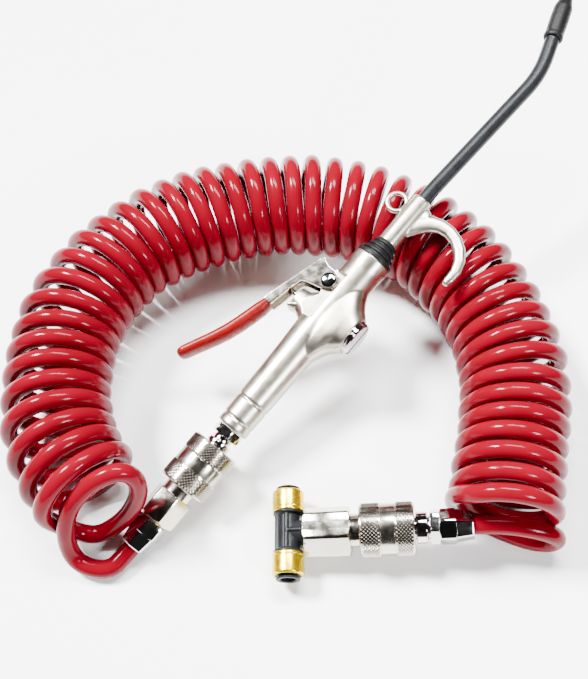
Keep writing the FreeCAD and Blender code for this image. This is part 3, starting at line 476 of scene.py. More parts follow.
def spline_line(curve):
    """The line that a curve with no bevel follows, in mm."""
    mesh = evaluated_mesh(curve)
    line = [vertex.co / MM for vertex in mesh.vertices]
    bpy.data.meshes.remove(mesh)
    return line


class Guide:
    """A line read by the distance along it."""

    def __init__(self, line):
        self.line = line
        self.along = [0.0]
        for first, second in zip(line, line[1:]):
            self.along.append(self.along[-1] + (second - first).length)
        self.length = self.along[-1]

    def at(self, distance):
        distance = min(max(distance, 0.0), self.length)
        low, high = 0, len(self.along) - 2
        while low < high:
            middle = (low + high + 1) // 2
            if self.along[middle] <= distance:
                low = middle
            else:
                high = middle - 1
        share = (distance - self.along[low]) / max(self.along[low + 1] - self.along[low], 1e-9)
        return self.line[low].lerp(self.line[low + 1], share)

    def direction(self, distance, reach=6.0):
        low, high = max(distance - reach, 0), min(distance + reach, self.length)
        return (self.at(high) - self.at(low)).normalized()

    def bend(self, distance, reach=22.0):
        """Curvature, towards the inside of the horseshoe, averaged over twice the reach."""
        low, high = max(distance - reach, 0), min(distance + reach, self.length)
        first, second = self.direction(low), self.direction(high)
        turn = math.atan2(second.cross(first).z, second.dot(first))
        return turn / max(high - low, 1e-6)


# Over the first and last spread of the route its turns lie sparser, by up to
# this share at its very ends.
START_SPREAD, START_SPARSE = 110.0, 0.08
END_SPREAD, END_SPARSE = 60.0, 0.22
ROUTE_STEPS = 800
# What the turns' uneven swell is brought in by.
DRAWN_IN = 0.3


def turn_density(guide, distance):
    """Relative number of turns per mm: even along the inner side, looser at both ends."""
    loose = START_SPARSE * max(0.0, 1 - distance / START_SPREAD)
    loose += END_SPARSE * max(0.0, 1 - (guide.length - distance) / END_SPREAD)
    return (1 - HELIX_RADIUS * guide.bend(distance)) * (1 - loose)


def helix_points(guide, turns):
    """Control points of the recoil turns round the guide, from outer side to inner top."""
    stations = [guide.length * number / ROUTE_STEPS for number in range(ROUTE_STEPS + 1)]
    total = [0.0]
    for first, second in zip(stations, stations[1:]):
        middle = turn_density(guide, (first + second) / 2)
        total.append(total[-1] + middle * (second - first))
    count = int(round(turns * POINTS_PER_TURN))
    outside = HELIX_RADIUS / math.cos(math.pi / POINTS_PER_TURN)
    points = []
    index = 0
    for number in range(count + 1):
        wanted = total[-1] * number / count
        while index < ROUTE_STEPS - 1 and total[index + 1] < wanted:
            index += 1
        share = (wanted - total[index]) / (total[index + 1] - total[index])
        distance = stations[index] + share * (stations[index + 1] - stations[index])
        angle = 2 * math.pi * number / POINTS_PER_TURN
        turn = number / POINTS_PER_TURN
        along = guide.direction(distance)
        outward = Vector((-along.y, along.x, 0))
        swell = 0.35 * math.sin(0.9 * turn) + 0.25 * math.sin(2.3 * turn + 1)
        lean = (0.9 * math.sin(0.61 * turn + 0.4) + 0.6 * math.sin(1.37 * turn)) * (
            0.5 + 0.5 * math.cos(angle))
        radius = outside + swell - DRAWN_IN
        points.append(guide.at(distance) + along * lean
                      + outward * (radius * math.cos(angle))
                      + Vector((0, 0, radius * math.sin(angle))))
    return points


def build_hose():
    route = nurbs_curve("coil_guide", floor_points(COIL_ROUTE), 24)
    guide = Guide(spline_line(route))
    bpy.data.objects.remove(route)
    inside_nut = GUN @ Vector((GUN_HOSE_END, 0, 0))
    below_nut = GUN @ Vector((GUN_HOSE_LEAD, 0, 0))
    line_inside = LINE_COUPLER @ Vector((LINE_HOSE_END, 0, 0))
    past_nut = LINE_COUPLER @ Vector((LINE_HOSE_LEAD, 0, 0))
    points = [inside_nut, below_nut] + floor_points(LEAD_IN)
    points += helix_points(guide, TURNS)
    points += floor_points(LEAD_OUT) + [past_nut, line_inside]
    hose = nurbs_curve("recoil_hose", points, 5)
    hose.data.bevel_depth = HOSE_DIAMETER / 2
    hose.data.bevel_resolution = 7
    hose.data.use_fill_caps = True
    hose.data.materials.append(MATERIALS["red_hose"])
    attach(hose, "gun")
    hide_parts("hose_lead_in", "hose_coil", "hose_lead_out")
    return hose


hose = build_hose()


# ------------------------------------------------------------------- finishing

def finish_piece(piece, material, body, replaced):
    piece.data.materials.clear()
    piece.data.materials.append(MATERIALS[material])
    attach(piece, body)
    if replaced:
        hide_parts(*replaced)


# -------------------------------------------------------------- quick couplers

def knurled_band(name, start, end, radius, depth, place, diamonds=44):
    """Diamond knurl cut as real pyramids, with plain chamfered edges."""
    columns = diamonds * 4
    pitch = 2 * math.pi * radius / diamonds
    cells = max(2, int(round((end - start - 1.0) / pitch)))
    rows = cells * 4
    stations = [(start, radius - depth - 0.6), (start + 0.5, radius - depth)]
    vertices = []
    for station, height in stations:
        for column in range(columns):
            angle = 2 * math.pi * column / columns
            vertices.append((station, height * math.cos(angle), height * math.sin(angle)))
    for row in range(rows + 1):
        station = start + 0.5 + (end - start - 1.0) * row / rows
        for column in range(columns):
            rising = (column + row) % 4
            falling = (column - row) % 4
            peak = min(min(rising, 4 - rising), min(falling, 4 - falling)) / 2
            edge = min(1.0, min(row, rows - row) / 2)
            height = radius - depth + depth * peak * edge
            angle = 2 * math.pi * column / columns
            vertices.append((station, height * math.cos(angle), height * math.sin(angle)))
    for station, height in [(end - 0.5, radius - depth), (end, radius - depth - 0.6)]:
        for column in range(columns):
            angle = 2 * math.pi * column / columns
            vertices.append((station, height * math.cos(angle), height * math.sin(angle)))
    return mesh_piece(name, vertices, ring_faces(rows + 5, columns), place, 25)


def coupler_sleeve(prefix, place):
    """Sliding sleeve: two knurled bands with a smooth waist between them."""
    front = knurled_band(prefix + "_front", 40.4, 51, 14.2, 0.62, place)
    rear = knurled_band(prefix + "_rear", 22, 33.6, 14.2, 0.62, place)
    waist = lathe(prefix + "_waist", [
        (33.2, 13.3), (33.3, 13.72), (40.7, 13.72), (40.8, 13.3)], place, 0.1, 128)
    rear_lip = lathe(prefix + "_rear_lip", [
        (24.6, 12.2), (22.2, 12.2), (22, 12.4), (22, 13.2)], place, 0.15, 128)
    mouth = lathe(prefix + "_mouth", [
        (51, 13.2), (51, 12.2, 0.4), (48.6, 11.3)], place, 0.2, 128)
    return joined(prefix, [front, rear, waist, rear_lip, mouth])


def coupler_socket(prefix, rear, across, place):
    """Wrench hexagon, neck, spring flange and front shank of the socket."""
    hexagon = hex_bar(prefix + "_hex", across, rear, 17, 6.5, place, 32, 0.25, math.pi / 6,
                      1.6, 1.6)
    turned = lathe(prefix + "_turned", [
        (16.6, 8.8), (22.6, 8.8, 0.3), (22.8, 11.8), (24.3, 11.8), (24.3, 9.25), (51, 9.25),
        (51, 6.05), (36, 6.05)], place, 0.2, 96)
    rear_bore = lathe(prefix + "_bore", [
        (rear + 0.02, 7.0), (rear + 0.02, 6.5), (rear + 6, 6.5)], place, 0.2, 64)
    return joined(prefix, [hexagon, turned, rear_bore])


def add_couplers():
    for prefix, rear, across, place, body in (
            ("gun_coupler", 0, 20, GUN, "gun"),
            ("line_coupler", -7.5, 24, LINE_COUPLER, "line_coupler")):
        socket = coupler_socket(prefix + "_socket", rear, across, place)
        finish_piece(socket, "bright_nickel", body, [prefix + "_body"])
        sleeve = coupler_sleeve(prefix + "_knurled_sleeve", place)
        finish_piece(sleeve, "knurled_nickel", prefix + "_sleeve", [prefix + "_sleeve"])


# ----------------------------------------------------------- plugs and hose nuts

def hose_nut(name, place):
    """Hexagon and six tapering facets that end in a rolled mouth."""
    across, end_across, hex_length = 17, 13.4, 8.5
    hexagon = hex_bar(name + "_hex", across, 0, hex_length, 6.0, place, 30, 0.25, 0, 1.1, 1.1)
    columns = 144
    rings = []
    steps = [(hex_length - 0.3, across - 1.0), (hex_length + 0.4, across - 1.3),
             (NUT_LENGTH - 0.6, end_across + 0.1), (NUT_LENGTH, end_across - 0.7)]
    for station, wide in steps:
        for column in range(columns):
            angle = 2 * math.pi * column / columns
            sharp_corner = wide / 2 / math.cos(math.pi / 6)
            radius = min(hexagon_radius(angle, wide), sharp_corner - 0.3)
            rings.append((station, radius * math.cos(angle), radius * math.sin(angle)))
    for station, radius in ((NUT_LENGTH, 5.4), (NUT_LENGTH - 0.8, 5.1), (NUT_LENGTH - 6, 5.1)):
        for column in range(columns):
            angle = 2 * math.pi * column / columns
            rings.append((station, radius * math.cos(angle), radius * math.sin(angle)))
    taper = mesh_piece(name + "_taper", rings, ring_faces(len(steps) + 3, columns), place, 25)
    return joined(name, [hexagon, bevelled(taper, 0.1, 2, 24)])


def plug_nose(name, place):
    """Visible front of a plug in its socket, up to the sleeve's mouth."""
    return lathe(name, [
        (39.5, 4.7), (41, 6), (50.4, 6), (51.8, 6)], place, 0.2, 96)


def inlet_plug():
    nose = plug_nose("inlet_plug_nose", GUN)
    shank = lathe("inlet_plug_shank", [
        (51.4, 6), (51.8, 6.9), (54.2, 6.9), (54.7, 5.3, 0.6), (57.6, 5.3, 0.5), (58.2, 6.9)],
        GUN, 0.25, 96)
    hexagon = hex_bar("inlet_plug_hex", 15, 57.8, 63.2, 3, GUN, 30, 0.2, math.pi / 6, 1.0, 0.8)
    piece = joined("inlet_plug_front", [nose, shank, hexagon])
    finish_piece(piece, "chrome", "gun", ["inlet_plug", "inlet_seal"])


def line_plug():
    nose = plug_nose("line_plug_nose", LINE_COUPLER)
    shank = lathe("line_plug_shank", [
        (51.4, 6), (51.9, 8.4), (57.4, 8.4), (57.9, 6, 0.5), (59, 6), (59.1, 7.4)],
        LINE_COUPLER, 0.3, 96)
    hexagon = hex_bar("line_plug_hex", 17, 59, 63.9, 3, LINE_COUPLER, 30, 0.25, math.pi / 6,
                      1.0, 1.0)
    thread = lathe("line_plug_thread", [
        (63.6, 7), (66, 7)], LINE_COUPLER, 0.2, 64)
    piece = joined("line_plug_front", [nose, shank, hexagon, thread])
    finish_piece(piece, "chrome", "gun", ["line_plug"])


def hose_connector():
    piece = lathe("gun_hose_connector_flange", [
        (3, 6.0), (0.02, 6.3), (0.0, 8), (-0.9, 8), (-1.0, 7), (-3, 7)], GUN, 0.15, 96)
    finish_piece(piece, "brass", "gun", ["gun_hose_connector"])


def add_fittings():
    gun_nut = hose_nut("gun_nut", GUN_NUT)
    finish_piece(gun_nut, "chrome", "gun", ["gun_hose_nut"])
    line_nut = hose_nut("line_nut", LINE_NUT)
    finish_piece(line_nut, "chrome", "gun", ["line_hose_nut"])
    inlet_plug()
    line_plug()
    hose_connector()


# ---------------------------------------------------------------- cast shapes

def sweep(build, rings, columns=32, power=2.0):
    """Adds a closed sweep through rings of (centre, side axis, up axis, half width, half height).

    power above 2 makes the section squarer.
    """
    loops = []
    for centre, side, up, half_width, half_height in rings:
        loop = []
        for column in range(columns):
            angle = 2 * math.pi * column / columns
            cos, sin = math.cos(angle), math.sin(angle)
            across = math.copysign(abs(cos) ** (2 / power), cos)
            high = math.copysign(abs(sin) ** (2 / power), sin)
            loop.append(build.verts.new(Vector(centre) + Vector(side) * (across * half_width)
                                        + Vector(up) * (high * half_height)))
        loops.append(loop)
    for low, high in zip(loops, loops[1:]):
        for column in range(columns):
            step = (column + 1) % columns
            build.faces.new((low[column], low[step], high[step], high[column]))
    build.faces.new(loops[0])
    build.faces.new(loops[-1])


def turned_part(build, outline, columns=64, axis="X", centre=(0, 0, 0)):
    """Adds a closed turned shape about the local X or Y axis."""
    rings = []
    for station, radius in outline:
        if axis == "X":
            place, side, up = Vector((station, 0, 0)), (0, 1, 0), (0, 0, 1)
        else:
            place, side, up = Vector((0, station, 0)), (0, 0, 1), (1, 0, 0)
        rings.append((Vector(centre) + place, side, up, radius, radius))
    sweep(build, rings, columns)


def block(build, corners, low, high):
    """Adds a prism between two heights over a polygon in the local XY plane."""
    bottom = [build.verts.new((x, y, low)) for x, y in corners]
    top = [build.verts.new((x, y, high)) for x, y in corners]
    count = len(corners)
    for index in range(count):
        step = (index + 1) % count
        build.faces.new((bottom[index], bottom[step], top[step], top[index]))
    build.faces.new(bottom)
    build.faces.new(top)


def cast(name, build, place, voxel, rounds, factor=0.5, shape=None):
    """Melts a mesh under construction into one skin with soft inner corners.

    shape(mesh) may then cut it, still in local mm.
    """
    bmesh.ops.recalc_face_normals(build, faces=build.faces)
    mesh = bpy.data.meshes.new(name)
    build.to_mesh(mesh)
    build.free()
    piece = link(bpy.data.objects.new(name, mesh))
    remesh = piece.modifiers.new("remesh", "REMESH")
    remesh.mode = "VOXEL"
    remesh.voxel_size = voxel
    remesh.use_smooth_shade = True
    relax = piece.modifiers.new("relax", "SMOOTH")
    relax.factor = factor
    relax.iterations = rounds
    baked(piece, 60)
    if shape:
        shape(piece.data)
        smooth(piece.data, 40)
    piece.data.transform(Matrix.Scale(MM, 4) @ place)
    return piece


def cut_with(piece, cutter):
    """Takes the cutter away from the piece."""
    modifier = piece.modifiers.new("cut", "BOOLEAN")
    modifier.operation = "DIFFERENCE"
    modifier.solver = "EXACT"
    modifier.object = cutter
    mesh = evaluated_mesh(piece)
    piece.modifiers.clear()
    piece.data = mesh
    smooth(mesh, 32)
    old = cutter.data
    bpy.data.objects.remove(cutter)
    bpy.data.meshes.remove(old)
    return piece


VALVE_STATION = 145.5
HANDLE = [
    (63.6, 8.7), (64.4, 9.5), (68.2, 9.5), (68.6, 9.0), (69.7, 9.0), (70.1, 9.6), (80.6, 9.9),
    (81.0, 9.35), (82.1, 9.35), (82.5, 10.0), (100, 10.2), (117, 10.6), (130, 11.2), (158, 11.4),
    (178, 11.0), (184.6, 11.5), (186.6, 11.7), (187, 11.2),
]


def elliptic_ring(y, x, half_x, half_z):
    """Section square to the valve axis, at height y and station x."""
    return (x, y, 0), (1, 0, 0), (0, 0, 1), half_x, half_z


def gun_casting():
    """Handle, belly, stem boss and lever lug, melted into one casting."""
    build = bmesh.new()
    turned_part(build, HANDLE)
    sweep(build, [elliptic_ring(*ring) for ring in (
        (2, 144, 38, 11.0), (-5, 144.5, 34, 11.5), (-10, 145, 26, 11.6),
        (-12.2, 145.6, 21.4, 11.6), (-14, 146, 17.8, 11.5), (-16, 145.8, 15.2, 11.4),
        (-18, 145.6, 13.4, 11.3), (-20.0, 145.5, 11.6, 11.2))], 64, 2.2)
    sweep(build, [elliptic_ring(*ring) for ring in (
        (2, 149, 22, 9.6), (7, 146, 15, 8.6), (11, 144.5, 10.4, 7.4), (15, 144, 7.6, 6.6),
        (19.4, 144.4, 6.5, 6.2), (20.4, 144.6, 6.2, 6.0))], 48, 2.3)
    block(build, [(151, 4), (154.6, 10), (157, 13.4), (159.6, 14.6), (164.6, 14.6), (167.2, 13),
                  (170.6, 12), (174.6, 4)], -4.3, 4.3)
    return cast("blow_gun_body", build, GUN, 0.42, 9, shape=side_recess)


# Half thickness left above a height, between two stations: beside the stem boss,
# and beside the lug where the lever's cheeks lie.
BOSS_FLAT = (138, 169.6, 2.4, 6.7)
LUG_FLAT = (153.2, 169.6, 4.2, 4.3)


def side_recess(mesh):
    """Cuts the casting's two flats into each of its sides."""
    for vertex in mesh.vertices:
        x, y = vertex.co.xy
        for start, end, height, half_thickness in (BOSS_FLAT, LUG_FLAT):
            if start < x < end and y > height:
                vertex.co.z = max(-half_thickness, min(half_thickness, vertex.co.z))


def stem_lip():
    """Rim of the stem boss, which flares towards the inlet."""
    build = bmesh.new()
    sweep(build, [elliptic_ring(*ring) for ring in (
        (14.6, 141.2, 3.4, 5.6), (17.6, 139.4, 3.2, 6.0), (19.6, 138.4, 2.6, 6.2),
        (20.8, 138.2, 1.8, 6.0))], 32, 2.4)
    return cast("stem_boss_lip", build, GUN, 0.3, 4)


def valve_cap():
    """Chromed cap with a coin slot and a sealing washer under its rim."""
    place = shifted(GUN, VALVE_STATION) @ rotation_about_z(-90)
    cap = lathe("cap_rim", [
        (19.4, 9.4), (19.4, 10.6, 0.3), (21.0, 10.6, 0.3), (21.0, 10.0), (21.4, 10.0), (21.4, 10.2),
        (22.6, 10.2, 0.4), (23.5, 9.2, 0.6), (23.5, 0.01)], place, 0.15, 128)
    build = bmesh.new()
    block(build, [(-0.9, -12), (0.9, -12), (0.9, 12), (-0.9, 12)], -0.9, 0.9)
    mesh = bpy.data.meshes.new("slot_cutter")
    bmesh.ops.recalc_face_normals(build, faces=build.faces)
    build.to_mesh(mesh)
    build.free()
    mesh.transform(Matrix.Scale(MM, 4) @ place @ Matrix.Translation((23.6, 0, 0)))
    cutter = link(bpy.data.objects.new("slot_cutter", mesh))
    return cut_with(cap, cutter)


def add_gun_body():
    body = joined("blow_gun_casting", [gun_casting(), stem_lip()])
    smooth(body.data, 40)
    finish_piece(body, "satin_nickel", "gun", ["gun_body"])
    cap = valve_cap()
    finish_piece(cap, "chrome", "gun", ["valve_cap", "valve_cap_seal"])


# ------------------------------------------------------------- hook and nozzle

HOOK_LINE = [
    # station, -y side, half width in the hook's plane, half thickness
    (203, -1.5, 3.5, 3.2), (209, 0.0, 4.6, 3.2), (215, 3.2, 5.6, 3.1), (220.4, 7.2, 5.6, 3.0),
    (224.6, 12.4, 4.9, 2.9), (226.6, 18.0, 4.2, 2.9), (226.6, 24.2, 3.8, 2.8),
    (224.6, 30.2, 3.6, 2.8), (220.8, 35.4, 3.5, 2.7), (215.6, 39.4, 3.3, 2.7),
    (209.4, 41.4, 3.1, 2.6), (203.4, 41.4, 2.8, 2.5), (200.6, 40.9, 2.0, 2.0),
    (199.6, 40.7, 1.0, 1.0),
]


def hanger_hook():
    """Barrel, web, tapering hook and hang ring as one casting."""
    build = bmesh.new()
    turned_part(build, [(200.05, 5.7), (200.4, 6.1), (232.4, 6.3), (233, 5.9)], 64)
    rings = []
    for index, (x, side, half_width, half_thick) in enumerate(HOOK_LINE):
        before = HOOK_LINE[max(index - 1, 0)]
        after = HOOK_LINE[min(index + 1, len(HOOK_LINE) - 1)]
        along = Vector((after[0] - before[0], before[1] - after[1], 0)).normalized()
        across = Vector((-along.y, along.x, 0))
        rings.append(((x, -side, 0), across, (0, 0, 1), half_width, half_thick))
    sweep(build, rings, 32, 2.5)
    sweep(build, [((212, -2, 0), (1, 0, 0), (0, 0, 1), 9, 3.2),
                  ((222, -5, 0), (1, 0, 0), (0, 0, 1), 9.0, 3.0),
                  ((225, -9, 0), (1, 0, 0), (0, 0, 1), 4.6, 2.9)], 32, 2.5)
    ring_at = Vector((223.9, 11.7, 0))
    ring_radius, wire_radius = 5.6, 1.4
    count, columns = 40, 16
    loops = []
    for step in range(count):
        angle = 2 * math.pi * step / count
        out = Vector((math.cos(angle), math.sin(angle), 0))
        loop = []
        for column in range(columns):
            turn = 2 * math.pi * column / columns
            loop.append(build.verts.new(
                ring_at + out * (ring_radius + wire_radius * math.cos(turn))
                + Vector((0, 0, wire_radius * math.sin(turn)))))
        loops.append(loop)
    for step in range(count):
        low, high = loops[step], loops[(step + 1) % count]
        for column in range(columns):
            following = (column + 1) % columns
            build.faces.new((low[column], low[following], high[following], high[column]))
    return cast("cast_hanger_hook", build, GUN, 0.36, 7)


def nozzle_collar():
    outline = [(187.05, 8), (187.05, 11.1), (189.4, 11.1)]
    station, radius = 189.4, 10.2
    for _ in range(3):
        outline += [(station + 0.3, radius - 1.0, 0.25), (station + 1.2, radius - 1.15, 0.25),
                    (station + 1.6, radius - 0.35, 0.35), (station + 3.1, radius - 0.65, 0.35)]
        station += 3.4
        radius -= 1.1
    outline += [(199.95, 6.7), (199.95, 5.2)]
    return lathe("ribbed_collar", outline, GUN, 0.3, 96)


# The nozzle's centreline on the gun's XY plane: (length, radius of an arc and
# which way it turns), a radius of 0 being straight.
TUBE_RUNS = [(236.0, 0), (200 * math.radians(3), -200), (78.0, 0),
             (64 * math.radians(22.5), 64), (22.0, 0)]
TUBE_END = sum(length for length, radius in TUBE_RUNS)
TUBE_RADIUS = 4.4


def nozzle_frame(distance):
    """Place on the nozzle's centreline, with X along the tube."""
    place = GUN
    for length, radius in TUBE_RUNS:
        step = min(distance, length)
        distance -= step
        if radius == 0:
            place = shifted(place, step)
            continue
        turn = step / radius
        place = shifted(place, radius * math.sin(turn), radius * (1 - math.cos(turn)))
        place = place @ Matrix.Rotation(turn, 4, "Z")
    return place


def nozzle_tube():
    """Coated tube that follows the straight run, the lean, the bend and the tail."""
    columns = 48
    stations = [198, 220, 235] + [237 + 2 * step for step in range(6)] + [270, 300, 322]
    stations += [324 + 1.5 * step for step in range(20)] + [TUBE_END - 4]
    vertices = []
    for distance in stations:
        place = nozzle_frame(distance)
        for column in range(columns):
            angle = 2 * math.pi * column / columns
            vertices.append(place @ Vector(
                (0, TUBE_RADIUS * math.cos(angle), TUBE_RADIUS * math.sin(angle))))
    faces = ring_faces(len(stations), columns)
    return mesh_piece("coated_nozzle_tube", vertices, faces, Matrix.Identity(4), 40)


def nozzle_tip():
    """Moulded rubber tip with a rolled rear edge, a waist and a blunt tapered front."""
    place = nozzle_frame(TUBE_END)
    return lathe("rubber_tip", [
        (-8, 4.35), (-10, 4.5), (-10, 5.6, 0.5), (-8.4, 5.95, 0.5), (-6.6, 5.5, 0.8), (4, 5.7),
        (12, 5.5, 1), (17.6, 3.9, 0.8), (20, 3.3, 0.8), (20, 1.5, 0.3), (14, 1.5)],
        place, 0.3, 96)


def add_nozzle():
    hook = hanger_hook()
    finish_piece(hook, "satin_nickel", "gun", ["hanger_hook"])
    collar = nozzle_collar()
    finish_piece(collar, "black_rubber", "gun", ["nozzle_collar", "nozzle_seal"])
    tube = nozzle_tube()
    finish_piece(tube, "black_tube", "gun", ["nozzle_tube"])
    tip = nozzle_tip()
    finish_piece(tip, "black_rubber", "gun", ["nozzle_tip"])


# ----------------------------------------------------------------------- lever

LEVER_TOP = [(131.5, 33.9), (135.4, 33.0), (147.1, 29.5), (162.8, 24.8), (170.2, 22.7),
             (171.3, 21.6), (171.2, 19.6)]


def strip(build, line, half_width, thickness):
    """Adds a bent strip of sheet metal; line is its outer edge in the local XY plane."""
    inner = []
    for index, point in enumerate(line):
        before = Vector(line[max(index - 1, 0)])
        after = Vector(line[min(index + 1, len(line) - 1)])
        along = (after - before).normalized()
        inner.append(Vector(point) + Vector((along.y, -along.x)) * thickness)
    corners = [tuple(point) for point in line] + [tuple(point) for point in reversed(inner)]
    block(build, corners, -half_width, half_width)


def lever_channel():
    """Top web and two cheeks, pressed from sheet."""
    build = bmesh.new()
    strip(build, LEVER_TOP, 6.4, 1.5)
    cheek = [(131.5, 33.2), (135.4, 32.4), (147.1, 28.9), (162.8, 24.2), (169.8, 22.0),
             (170.4, 19.6), (168.9, 16), (168.6, 11), (167.2, 7.2), (164.6, 5.3), (161.6, 5.0),
             (158.8, 6.0), (156.9, 8.4), (155.6, 13), (154.0, 21.4), (152.6, 23.6),
             (148.5, 24.7), (142.5, 25.8), (131.4, 28.2)]
    block(build, cheek, 4.6, 6.4)
    block(build, cheek, -6.4, -4.6)
    return cast("lever_channel", build, GUN, 0.26, 3)


GRIP_LINE = [(132.4, 31.2), (127, 32.4), (120, 34.2), (112, 36.4), (104, 39.2), (96.5, 42.6),
             (89.5, 46.2), (83.5, 49.3), (80, 51.0), (78.2, 51.7), (77.0, 52.1), (76.5, 52.2)]
# Share of the full section at the last rings, counted back from the free end.
GRIP_END = {0: 0.25, 1: 0.62, 2: 0.88}


def lever_grip():
    """Dipped grip: an oval sleeve with a thicker, round free end."""
    build = bmesh.new()
    rings = []
    for index, (x, y) in enumerate(GRIP_LINE):
        before = GRIP_LINE[max(index - 1, 0)]
        after = GRIP_LINE[min(index + 1, len(GRIP_LINE) - 1)]
        along = Vector((after[0] - before[0], after[1] - before[1], 0)).normalized()
        across = Vector((-along.y, along.x, 0))
        rounded = GRIP_END.get(len(GRIP_LINE) - 1 - index, 1.0)
        half_high = (3.6 + 0.35 * math.sin(0.55 * index)) * rounded
        half_wide = 6.6 * rounded
        if index == 0:
            half_high, half_wide = 2.7, 6.4
        rings.append(((x, y, 0), across, (0, 0, 1), half_high, half_wide))
    sweep(build, rings, 48, 2.5)
    return cast("dipped_grip", build, GUN, 0.34, 6)


def pivot_pin():
    """Pin with a broad domed head on each side."""
    pivot = shifted(GUN, 162.1, 10.6)
    head = [(6.3, 4.5), (6.7, 4.4, 0.2), (7.3, 3.2, 0.8), (7.6, 0.01)]
    heads = [lathe("pin_" + side, head, pivot @ rotation_about_y(turn), 0.2, 64)
             for side, turn in (("low", 90), ("high", -90))]
    return joined("lever_pivot_heads", heads)


def valve_stem():
    place = shifted(GUN, VALVE_STATION) @ rotation_about_z(90)
    return lathe("valve_plunger", [
        (14, 1.5), (26.4, 1.5), (27.6, 1.5, 0.5), (28.1, 0.9, 0.5), (28.1, 0.01)],
        place, 0.2, 48)


def add_lever():
    channel = lever_channel()
    finish_piece(channel, "bright_nickel", "lever", ["lever"])
    grip = lever_grip()
    finish_piece(grip, "red_grip", "lever", ["lever_grip"])
    pin = pivot_pin()
    finish_piece(pin, "chrome", "gun", ["lever_pivot_pin"])
    stem = valve_stem()
    finish_piece(stem, "chrome", "valve", ["valve_stem"])


# ------------------------------------------------------------------------- tee

def tee_moulding():
    """Ribbed run and branch, melted together like a moulding."""
    build = bmesh.new()
    turned_part(build, [(-23, 6.9), (-11.2, 7.1), (-11.2, 8.2), (-10, 8.2), (-9.4, 6.4),
                        (9.4, 6.4), (10, 8.2), (11.2, 8.2), (11.2, 7.1), (23, 6.9)], 64, "Y")
    turned_part(build, [(0, 6.2), (7.6, 6.8), (8.0, 8.4), (9, 8.5)], 64)
    block(build, [(-7.3, -9.6), (-5.9, -9.6), (-5.9, 9.6), (-7.3, 9.6)], -0.7, 0.7)
    rib = [(-0.8, -9.6), (0.8, -9.6), (0.8, 9.6), (-0.8, 9.6)]
    block(build, rib, 5.4, 7.2)
    block(build, rib, -7.2, -5.4)
    block(build, [(0, -0.8), (8, -0.8), (8, 0.8), (0, 0.8)], 5.4, 7.4)
    return cast("tee_moulding", build, LINE, 0.3, 4)


def tee_end(side, sign):
    """Anodised ring, and a collet with a flared lip."""
    place = LINE @ rotation_about_z(90 * sign)
    ring = lathe("tee_cap_" + side, [
        (11.3, 7.2), (11.3, 8.3), (11.7, 8.6, 0.4), (12.8, 8.6), (13.0, 8.45), (13.4, 8.45),
        (13.6, 8.6), (22.5, 8.6, 0.5), (23.3, 7.9, 0.3), (23.3, 6.9)], place, 0.15, 96)
    finish_piece(ring, "gold_ring", "line_coupler", ["tee_ring_" + side])
    collet = lathe("release_collet_" + side, [
        (17, 5.2), (24.2, 5.2), (24.3, 6.3, 0.2), (25.0, 6.6, 0.3), (25.4, 6.2, 0.2),
        (25.4, 4.5, 0.3), (24.9, 4.05), (17, 4.05)], place, 0.2, 96)
    finish_piece(collet, "black_plastic", "collet_" + side, ["collet_" + side])


def add_tee():
    body = tee_moulding()
    finish_piece(body, "black_plastic", "line_coupler", ["tee_body"])
    for side, sign in (("back", 1), ("front", -1)):
        tee_end(side, sign)


# -------------------------------------------------------------------- assembly

add_couplers()
add_fittings()
add_gun_body()
add_nozzle()
add_lever()
add_tee()

CARRIED = {
    "brass": ["stem_guide", "gun_coupler_valve", "line_coupler_valve", "tee_stem"],
    "black_rubber": ["stem_seal", "poppet_seal", "gun_coupler_seal", "line_coupler_seal",
                     "tube_seal_back", "tube_seal_front"],
    "spring_steel": ["valve_spring", "gun_coupler_spring", "gun_coupler_valve_spring",
                     "line_coupler_spring", "line_coupler_valve_spring", "gun_coupler_snap_ring",
                     "line_coupler_snap_ring", "grab_ring_back", "grab_ring_front",
                     "gun_coupler_balls", "line_coupler_balls"],
    "chrome": ["valve_poppet"],
}


def paint_carried_nodes():
    for material, names in CARRIED.items():
        for name in names:
            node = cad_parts[name]
            node.data.materials.clear()
            node.data.materials.append(MATERIALS[material])


paint_carried_nodes()


# ---------------------------------------------------------------------- studio

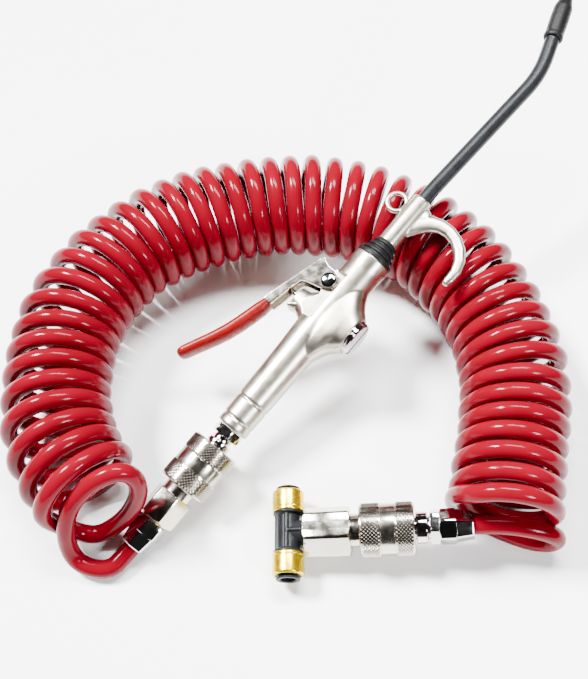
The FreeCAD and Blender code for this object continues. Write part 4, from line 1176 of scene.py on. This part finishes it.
def floor_material():
    material, nodes, links, shader = new_material("pale_floor")
    set_inputs(shader, Roughness=0.55)
    shade = ranged(nodes, links, noise(nodes, links, 3, 2), 0, 1)
    colour = two_colours(nodes, links, shade, (0.93, 0.93, 0.932), (0.95, 0.95, 0.952))
    links.new(colour, shader.inputs["Base Color"])
    return material


def add_floor():
    mesh = bpy.data.meshes.new("floor")
    reach, level = 6.0, -0.0004
    mesh.from_pydata([(-reach, -reach, level), (reach, -reach, level),
                      (reach, reach, level), (-reach, reach, level)], [], [(0, 1, 2, 3)])
    floor = link(bpy.data.objects.new("floor", mesh))
    mesh.materials.append(floor_material())


def add_light(name, place, size, power, target=(0, 0, 0)):
    data = bpy.data.lights.new(name, "AREA")
    data.shape = "RECTANGLE"
    data.size, data.size_y = size
    data.energy = power
    lamp = link(bpy.data.objects.new(name, data))
    lamp.location = place
    lamp.rotation_euler = (Vector(target) - Vector(place)).to_track_quat("-Z", "Y").to_euler()


def add_sun(name, place, strength, spread):
    """Distant soft light that falls evenly over the whole floor."""
    data = bpy.data.lights.new(name, "SUN")
    data.energy = strength
    data.angle = math.radians(spread)
    lamp = link(bpy.data.objects.new(name, data))
    lamp.location = place
    lamp.rotation_euler = (-Vector(place)).to_track_quat("-Z", "Y").to_euler()


def add_world():
    """Bright walls under a dark ceiling, so that metal shows both."""
    world = bpy.data.worlds.new("studio")
    world.use_nodes = True
    nodes, links = world.node_tree.nodes, world.node_tree.links
    background = nodes["Background"]
    place = nodes.new("ShaderNodeTexCoord")
    direction = nodes.new("ShaderNodeSeparateXYZ")
    links.new(place.outputs["Generated"], direction.inputs["Vector"])
    links.new(ranged(nodes, links, direction.outputs["Z"], 0.8, 0.22, 0.2, 0.75),
              background.inputs["Strength"])
    bpy.context.scene.world = world


add_floor()
add_sun("key", (-0.8, 0.45, 1.15), 19, 14)
add_light("top", (0.15, 0.55, 1.5), (0.9, 0.3), 80)
add_light("fill", (0.8, -0.9, 0.9), (0.3, 0.3), 30)
add_world()
